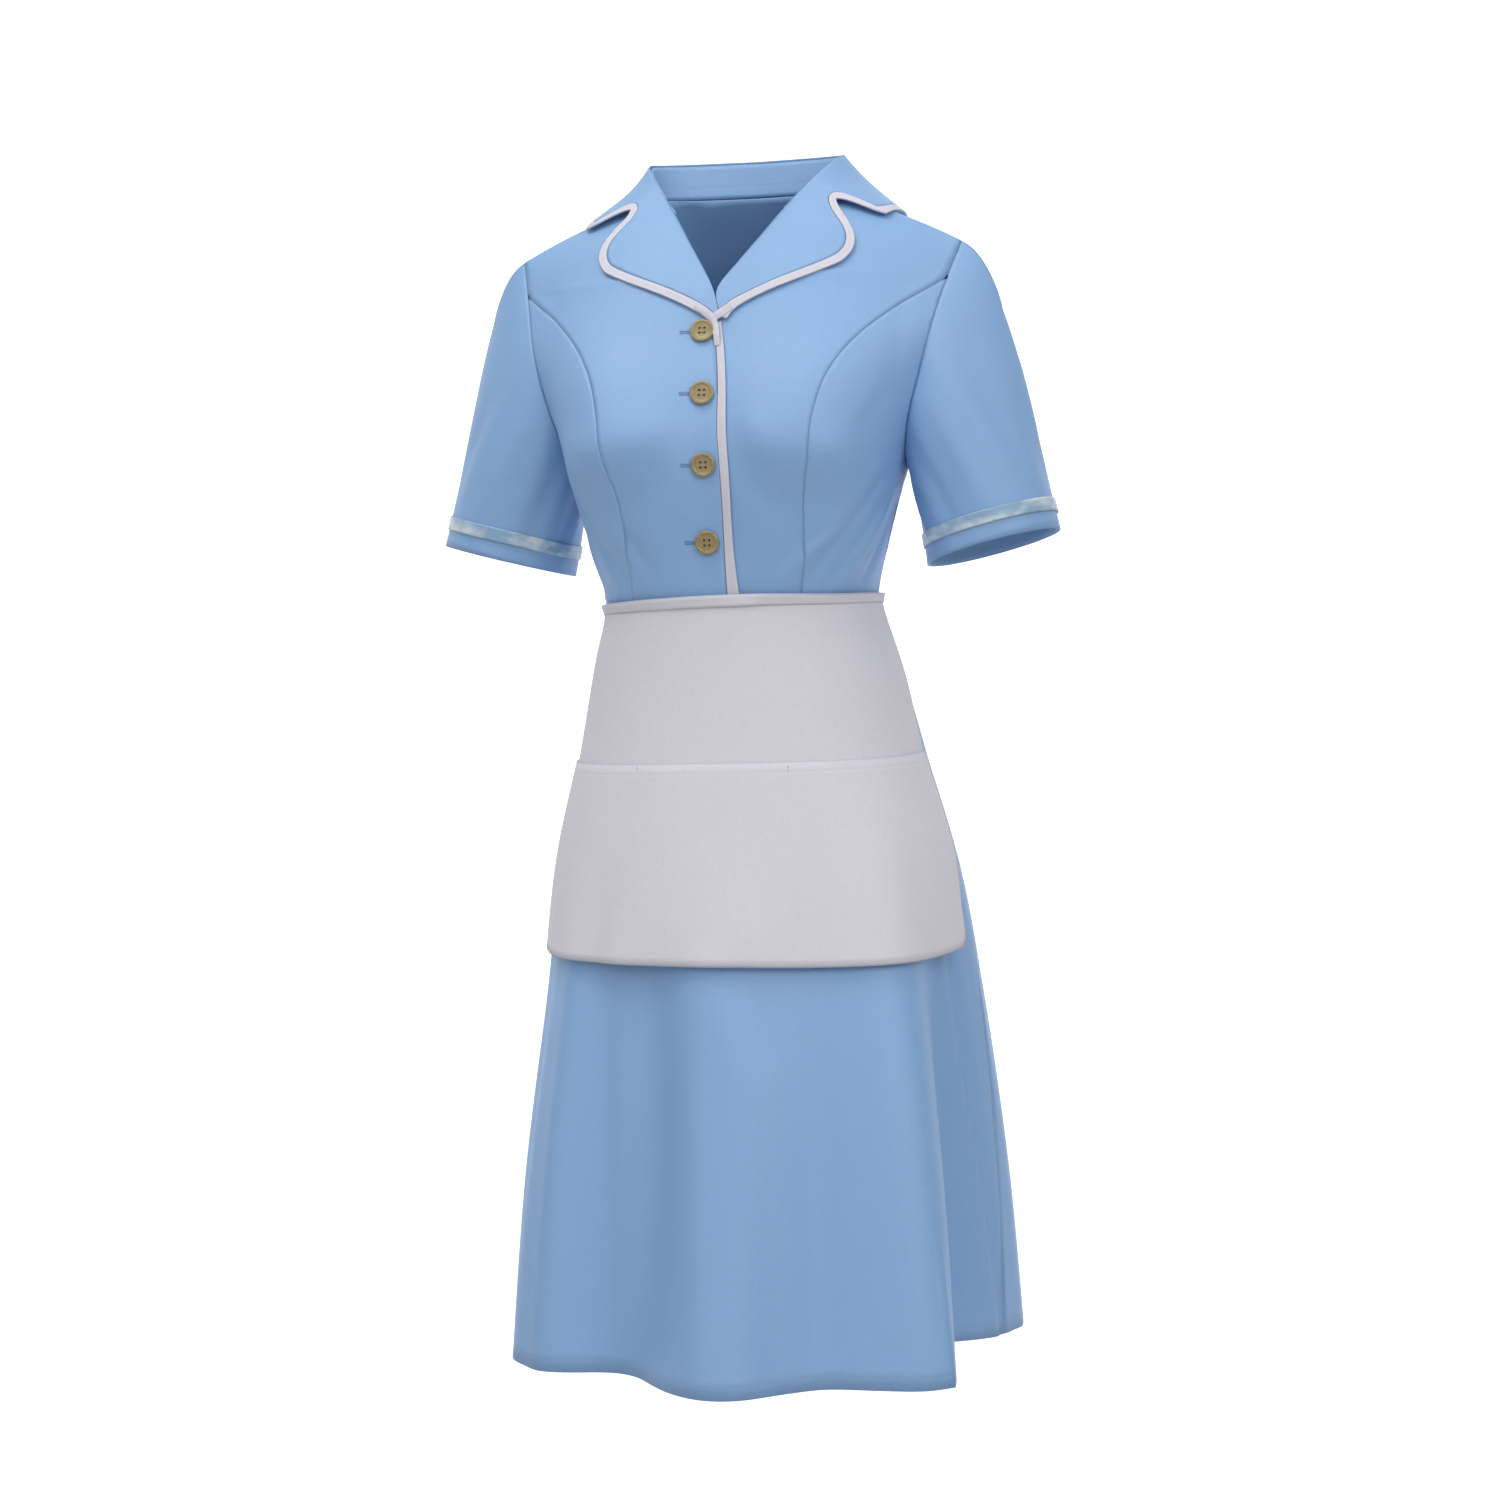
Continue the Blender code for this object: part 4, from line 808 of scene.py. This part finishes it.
def cloth_look(name, tones, thread, pitch, stitch, sheen, roughness, specular, rim_shadow_share):
    """Woven cloth with hem stitching, soft edges and painted shade along its rims and seams."""
    base, deep, pale = tones
    look = Look(name, roughness, sheen, CLOTH_SHEEN_ROUGHNESS, specular)
    look.shader.inputs["Sheen Tint"].default_value = pale
    height, around, along = weave_lines(look, pitch, TWILL_SLOPE)
    fine = look.noise(*FINE_NOISE)
    tone = look.math("MULTIPLY", fine, TONE_FINE)
    tone = look.math("MULTIPLY_ADD", look.noise(*WIDE_NOISE), TONE_WIDE, tone)
    colour = look.colour(look.math("SUBTRACT", tone, TONE_LOW, clamp=True), deep, pale)
    colour = look.colour(BASE_SHARE, colour, base)
    ribs = look.math("MULTIPLY_ADD", height, RIB_CONTRAST, look.noise(*RIB_NOISE), clamp=True)
    colour = look.colour(RIB_SHARE, colour, look.colour(ribs, darker(base, RIB_SHADE), pale))
    edge, hem = look.value("edge"), look.value("hem")
    way = look.math("MULTIPLY", look.math("ADD", around, along), 1 / DASH_LENGTH)
    dashed = look.math("LESS_THAN", look.math("FRACT", way), DASH_SHARE)
    sewn = look.math("MULTIPLY", look.band(hem, stitch, SEWN_HALF), dashed)
    # Painted shade: the colour darkens towards every rim and seam, where shadow falls
    rim_shadow = look.math("MULTIPLY", look.band(edge, 0.0, RIM_SHADOW_REACH), rim_shadow_share)
    colour = look.colour(rim_shadow, colour, darker(deep, RIM_SHADE))
    colour = look.colour(look.math("MULTIPLY", sewn, SEWN_SHARE), colour, thread)
    rough = look.math("MULTIPLY_ADD", fine, ROUGH_SPREAD, roughness - ROUGH_SPREAD / 2)
    grain = look.math("MULTIPLY_ADD", look.noise(*SLUB_NOISE), SLUB_HEIGHT, height)
    normal = look.bump(grain, *GRAIN_BUMP)
    soft = look.math("MINIMUM", look.math("MULTIPLY", edge, EDGE_SLOPE), 1.0)
    furrow = look.math("MULTIPLY", look.band(hem, stitch, FURROW_HALF), FURROW_DEPTH)
    profile = look.math("SUBTRACT", look.math("MULTIPLY", soft, EDGE_HEIGHT), furrow)
    profile = look.math("ADD", profile, look.math("MULTIPLY", sewn, SEWN_HEIGHT))
    crumple = look.math("MULTIPLY_ADD", look.noise(*CRUMPLE_NOISE), CRUMPLE_HEIGHT, profile)
    return look.finish(colour, rough, look.bump(crumple, *CRUMPLE_BUMP, normal))


def satin_look():
    """Shiny woven ribbon whose colour has painted glints and painted shade in patches."""
    look = Look("satin_ribbon", roughness=0.30, sheen=0.25, sheen_roughness=0.35, specular=0.7)
    stretch = look.new("ShaderNodeMapping", Scale=SATIN_STRETCH, Vector=look.weave())
    patch = look.noise(*PATCH_NOISE, stretch.outputs["Vector"])
    # Painted glints and painted shade: the colour runs in patches from a shaded to a glinting tone
    ramp = look.new("ShaderNodeValToRGB", Fac=patch)
    for stop, position, colour in zip(
        ramp.color_ramp.elements, SATIN_STOPS, (SATIN_PAINTED_SHADE, SATIN_PAINTED_GLINT),
    ):
        stop.position = position
        stop.color = colour
    height, _, _ = weave_lines(look, SATIN_PITCH, SATIN_SLOPE)
    rough = look.math("MULTIPLY_ADD", patch, *SATIN_ROUGH)
    soft = look.math("MULTIPLY", look.value("edge"), SATIN_EDGE_SLOPE)
    soft = look.math("ADD", look.math("MINIMUM", soft, 1.0), patch)
    normal = look.bump(height, *RIBBON_BUMP)
    return look.finish(ramp.outputs["Color"], rough, look.bump(soft, *PATCH_BUMP, normal))


def button_look():
    """Khaki moulded button with faint streaks."""
    look = Look("khaki_moulded", roughness=0.34, specular=0.7)
    streak = look.new(
        "ShaderNodeTexNoise", Scale=260.0, Detail=4.0, Roughness=0.6, Distortion=1.2,
        Vector=look.place,
    ).outputs["Fac"]
    rough = look.math("MULTIPLY_ADD", streak, *KHAKI_ROUGH)
    return look.finish(look.colour(streak, *KHAKI), rough, look.bump(streak, *BUTTON_BUMP))


def thread_look(name, first, second):
    look = Look(name, roughness=0.6, sheen=0.3, sheen_roughness=0.4, specular=0.4)
    strand = look.new(
        "ShaderNodeTexWave", Scale=2400.0, Distortion=1.5, Vector=look.place,
    ).outputs["Fac"]
    return look.finish(
        look.colour(strand, first, second), normal=look.bump(strand, *THREAD_BUMP),
    )


def floor_look():
    look = Look("pale_floor", roughness=0.9, specular=0.1)
    return look.finish(look.colour(look.noise(FLOOR_SCALE), *FLOOR_TONES))


def finish_piece(item, node, look, materials):
    item.data.materials.clear()
    item.data.materials.append(materials[look])
    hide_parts(node)
    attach(item, "root")


def dress(item, node, look, materials, hem, field=None, axis="body"):
    """Makes a finer copy of a node's wall into a finished piece of cloth."""
    write_distances(item, hem)
    write_weave(item, axis)
    if field is not None:
        points = points_of(item)
        set_points(item, points + field(points))
    finish_piece(item, node, look, materials)
    return item


def tube(shape, points, radius, sides=STRAND_SIDES):
    """A closed thin tube along points, for thread."""
    rings = []
    for index, point in enumerate(points):
        before = points[max(index - 1, 0)]
        after = points[min(index + 1, len(points) - 1)]
        along = (after - before).normalized()
        side = along.orthogonal().normalized()
        up = along.cross(side)
        end = index in (0, len(points) - 1)
        ring = circle(radius * STRAND_END if end else radius, sides)
        rings.append([shape.verts.new(point + side * x + up * y) for x, y in ring])
    join_rings(shape, rings)


def lay_thread(shape, surface, starts, inward, depth, lift, radius, sides=STRAND_SIDES):
    """A thread that arches over a surface. It is laid along rays that start in front of it, each
    given with its share of the thread's length."""
    points = []
    for share, start in starts:
        hit = surface.ray_cast(start, inward, depth)[0]
        if hit is not None:
            points.append(hit - inward * (lift + STITCH_ARCH * math.sin(math.pi * share)))
    if len(points) == len(starts):
        tube(shape, points, radius, sides)


def piece_from(shape, name, material):
    bmesh.ops.recalc_face_normals(shape, faces=shape.faces)
    item = object_of(shape, name)
    item.data.materials.append(material)
    item.data.shade_smooth()
    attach(item, "root")
    return item


def node_frame(node):
    """Centre of a flat round node, its right, up and outward directions, and how far its back
    lies from its centre."""
    points = points_of(NODES[node])
    centre = points.mean(axis=0)
    out = np.linalg.svd(points - centre)[2][2]
    out = Vector(-out if out[1] > 0 else out)
    right = Vector((0.0, 0.0, 1.0)).cross(out)
    right = (right if right.x > 0 else -right).normalized()
    up = out.cross(right)
    up = up if up.z > 0 else -up
    depth = (points - centre) @ np.array(out)
    return Vector(centre), right, up, out, float(depth.min())


def button_shape(name):
    """Turned button with a rolled rim, a sunk middle and four holes."""
    shape = bmesh.new()
    join_rings(shape, [
        [shape.verts.new((x, y, height)) for x, y in circle(radius, BUTTON_SIDES)]
        for radius, height in BUTTON_PROFILE
    ])
    bmesh.ops.recalc_face_normals(shape, faces=shape.faces)
    item = object_of(shape, name)
    drill = bmesh.new()
    for x in (-HOLE_OFFSET, HOLE_OFFSET):
        for y in (-HOLE_OFFSET, HOLE_OFFSET):
            bmesh.ops.create_cone(
                drill, cap_ends=True, segments=DRILL_SIDES, radius1=HOLE_RADIUS,
                radius2=HOLE_RADIUS, depth=DRILL_DEPTH, matrix=Matrix.Translation((x, y, 0.0)),
            )
    tool = object_of(drill, "drill")
    cut = item.modifiers.new("holes", "BOOLEAN")
    cut.operation = "DIFFERENCE"
    cut.object = tool
    cut.solver = "EXACT"
    apply_modifiers(item)
    bpy.data.objects.remove(tool)
    item.data.shade_smooth()
    item.data.set_sharp_from_angle(angle=BUTTON_SHARP)
    return item


def make_button(number, materials, surface):
    """One button, the thread that holds it, and the worked buttonhole beside it."""
    node = f"button_{number}"
    centre, right, up, out, base = node_frame(node)
    matrix = Matrix((right, up, out)).transposed().to_4x4()
    matrix.translation = centre + out * base
    item = button_shape(node + "_turned")
    item.data.transform(matrix)
    finish_piece(item, node, "button", materials)
    shape = bmesh.new()
    for y in (-HOLE_OFFSET, HOLE_OFFSET):
        for strand in (-STRAND_OFFSET, STRAND_OFFSET):
            points = []
            for step in range(-THREAD_STEPS, THREAD_STEPS + 1):
                share = step / THREAD_STEPS
                rise = BUTTON_FACE + THREAD_RISE * (1 - share ** 4)
                rise -= THREAD_DIP * (abs(step) == THREAD_STEPS)
                points.append(matrix @ Vector((HOLE_OFFSET * share, y + strand, rise)))
            tube(shape, points, STRAND_RADIUS)
    piece_from(shape, node + "_thread", materials["button_thread"])
    shape = bmesh.new()
    for step in range(HOLE_STITCHES + 1):
        x = BUTTONHOLE_START + (BUTTONHOLE_END - BUTTONHOLE_START) * step / HOLE_STITCHES
        reach = BAR_REACH if x - BUTTONHOLE_START < BAR_WIDTH else STITCH_REACH
        for side in (up, -up):
            starts = [
                (share, centre + right * x + out * STITCH_START
                 + side * (SLIT_HALF + (reach - SLIT_HALF) * share))
                for share in STITCH_SHARES
            ]
            lay_thread(
                shape, surface, starts, -out, STITCH_DEPTH, STITCH_LIFT, STITCH_RADIUS,
                STITCH_SIDES,
            )
    piece_from(shape, node + "_hole", materials["hole_thread"])


def lay_sides(pieces):
    """Lays the apron's edge at the wearer's right, and band and tie near it, on the dress. The
    edge at the wearer's left stands off, as the photo's outline asks."""
    under = surface_of(*(pieces[node] for node in UNDER_APRON))
    panel = pieces["apron_panel"]
    edges = point_tree(rim_points(panel.data, upright_rim))
    inner = surface_of(panel)
    layers = [(pieces[node], inner) for node in APRON]
    layers.extend((pieces[node], surface_of(pieces[node])) for node in BANDS)
    for item, tree in layers:
        points = points_of(item)
        for index, point in enumerate(points):
            place = Vector(point)
            share = edges.find(place)[2] / SIDE_REACH
            if share >= 1.0 or place.x > 0:
                continue
            inward = Vector((-place.x, -place.y, 0.0)).normalized()
            hit = under.ray_cast(place - inward * SIDE_START, inward, SIDE_DEPTH)[0]
            if hit is None:
                continue
            gap = max(0.0, tree.find_nearest(hit)[3] - SIDE_GAP)
            points[index] += np.array(inward) * gap * (1 - smooth_step(0.0, 1.0, share))
        set_points(item, points)


def sew_rows(surface, material):
    """Short rows of stitches that close the top of the pocket's inner seams."""
    shape = bmesh.new()
    for x, top, bottom in POCKET_ROWS:
        z = top
        while z - ROW_STITCH > bottom:
            starts = [
                (share, Vector((x, FRONT_Y, z - ROW_STITCH * share))) for share in ROW_SHARES
            ]
            lay_thread(shape, surface, starts, BACKWARD, FRONT_DEPTH, ROW_LIFT, ROW_RADIUS)
            z -= ROW_STITCH + ROW_BREAK
    piece_from(shape, "pocket_rows", material)


def lay_strip(name, path, lift, surface, material):
    """A flat band along a path of x, z and half width, laid on the front."""
    places = np.array([
        (x, surface.ray_cast(Vector((x, FRONT_Y, z)), BACKWARD, FRONT_DEPTH)[0].y, z, half)
        for x, z, half in path
    ])
    ahead = np.pad(places[:, 1], 1, "edge")
    places[:, 1] = np.minimum(np.minimum(ahead[:-2], ahead[1:-1]), ahead[2:])
    steps = np.linspace(0, len(places) - 1, STRIP_STEPS * (len(places) - 1) + 1)
    fine = np.stack([np.interp(steps, range(len(places)), column) for column in places.T], axis=1)
    for _ in range(STRIP_SMOOTHING):
        fine[1:-1] = (fine[:-2] + 2 * fine[1:-1] + fine[2:]) / 4
    sink = 1 - STRIP_SINK * smooth_step(*STRIP_SINK_SPAN, np.linspace(0, 1, len(fine)))
    shape = bmesh.new()
    rings = []
    for index, (x, y, z, half) in enumerate(fine):
        along = fine[min(index + 1, len(fine) - 1), :3] - fine[max(index - 1, 0), :3]
        along = Vector(along).normalized()
        out = (along * BACKWARD.dot(along) - BACKWARD).normalized()
        side = along.cross(out)
        ring = []
        for across, height in STRIP_SECTION:
            place = Vector((x, y, z)) + side * across * half
            hit = surface.ray_cast(place - BACKWARD * STRIP_NEAR, BACKWARD, 2 * STRIP_NEAR)[0]
            if hit is not None and hit.y > y - STRIP_REACH:
                place.y = min(hit.y, y)
            ring.append(shape.verts.new(place + out * (height * lift * sink[index])))
        rings.append(ring)
    join_rings(shape, rings)
    item = piece_from(shape, name, material)
    write_distances(item, any_rim)
    write_weave(item)


def make_materials():
    materials = {look: cloth_look(*row) for look, row in CLOTHS.items()}
    materials["satin"] = satin_look()
    materials["button"] = button_look()
    for name, colours in THREADS.items():
        materials[name] = thread_look(name, *colours)
    return materials


def make_body(materials):
    """Bodice, skirt, and the apron's panel and pocket."""
    pieces = {node: finer(node) for node in BODICE + SKIRT + APRON}
    bodice = Bodice([pieces[node] for node in BODICE])
    for node, item in pieces.items():
        smooth = bodice if node in BODICE else None
        dress(
            item, node, "white" if node in APRON else "blue", materials,
            hem_above if node == "apron_pocket" else hem_below,
            lambda points: body_field(points, smooth),
        )
    return pieces


def make_dress():
    materials = make_materials()
    pieces = make_body(materials)
    for node in BANDS + ("apron_knot",):
        pieces[node] = dress(finer(node), node, "white", materials, tie_top, body_field)
    lay_sides(pieces)
    for node in ("front_binding", "collar_binding"):
        pieces[node] = dress(finer(node), node, "trim", materials, any_rim)
    for node in ("collar", "collar_stand"):
        pieces[node] = dress(finer(node), node, "blue", materials, hem_below)
    for side in ("left", "right"):
        for part, look, hem in (
            ("sleeve_", "blue", hem_below), ("sleeve_ribbon_", "satin", any_rim),
        ):
            node = part + side
            pieces[node] = dress(
                finer(node), node, look, materials, hem,
                lambda points: sleeve_field(points, side), "sleeve",
            )
    close_seams([pieces[node] for node in BODICE + SKIRT + SLEEVES])
    surface = surface_of(pieces["front_centre_right"])
    for number in range(1, BUTTONS + 1):
        make_button(number, materials, surface)
    sew_rows(surface_of(pieces["apron_pocket"]), materials["row_thread"])
    surface = surface_of(*(pieces[node] for node in UNDER_STRIPS))
    lay_strip("binding_end", BINDING_END, END_LIFT, surface, materials["trim"])
    lay_strip("binding_turn", BINDING_TURN, TURN_LIFT, surface, materials["trim"])


def make_stage():
    """A round pale floor whose rim turns up all round; its middle lies nearer the camera."""
    profile = [(reach, FLOOR_Z) for reach in FLOOR_RINGS]
    for step in range(SWEEP_STEPS + 1):
        turn = math.radians(90 * step / SWEEP_STEPS)
        profile.append((
            FLOOR_FLAT + SWEEP_RADIUS * math.sin(turn),
            FLOOR_Z + SWEEP_RADIUS * (1 - math.cos(turn)),
        ))
    profile.append((FLOOR_FLAT + SWEEP_RADIUS, FLOOR_Z + SWEEP_HEIGHT))
    shape = bmesh.new()
    join_rings(shape, [
        [shape.verts.new((x, y - FLOOR_ASIDE, z)) for x, y in circle(reach, FLOOR_SIDES)]
        for reach, z in profile
    ], closed=False)
    bmesh.ops.recalc_face_normals(shape, faces=shape.faces)
    item = object_of(shape, "floor")
    item.data.shade_smooth()
    item.data.materials.append(floor_look())
    item.matrix_world = Matrix.Rotation(CAMERA_AZIMUTH, 4, "Z")


def add_light(name, place, target, size, power, colour):
    light = bpy.data.lights.new(name, "AREA")
    light.shape = "RECTANGLE"
    light.size, light.size_y = size
    light.energy = power
    light.color = colour
    item = link(bpy.data.objects.new(name, light))
    turn = (Vector(place) - Vector(target)).to_track_quat("Z", "Y")
    item.matrix_world = Matrix.Translation(place) @ turn.to_matrix().to_4x4()


def make_lights():
    bpy.context.scene.view_settings.view_transform = "Standard"
    world = bpy.data.worlds.new("studio")
    bpy.context.scene.world = world
    world.use_nodes = True
    back = world.node_tree.nodes["Background"]
    back.inputs["Color"].default_value = WORLD_COLOUR
    back.inputs["Strength"].default_value = WORLD_STRENGTH
    for row in LIGHTS:
        add_light(*row)


def make_camera():
    right = Vector((math.cos(CAMERA_AZIMUTH), math.sin(CAMERA_AZIMUTH), 0.0))
    back = Vector((math.sin(CAMERA_AZIMUTH), -math.cos(CAMERA_AZIMUTH), 0.0))
    place = right * CAMERA_ASIDE + back * CAMERA_DISTANCE + Vector((0.0, 0.0, CAMERA_Z))
    up = Vector((0.0, 0.0, 1.0))
    across = right * math.cos(CAMERA_ROLL) - up * math.sin(CAMERA_ROLL)
    upward = right * math.sin(CAMERA_ROLL) + up * math.cos(CAMERA_ROLL)
    camera = bpy.data.cameras.new("camera")
    camera.sensor_width = SENSOR_MM
    camera.lens = SENSOR_MM * FOCAL_PIXELS / IMAGE_PIXELS
    item = link(bpy.data.objects.new("camera", camera))
    turn = Matrix((across, upward, back)).transposed()
    item.matrix_world = Matrix.Translation(place) @ turn.to_4x4()
    bpy.context.scene.camera = item


make_dress()
make_stage()
make_lights()
make_camera()
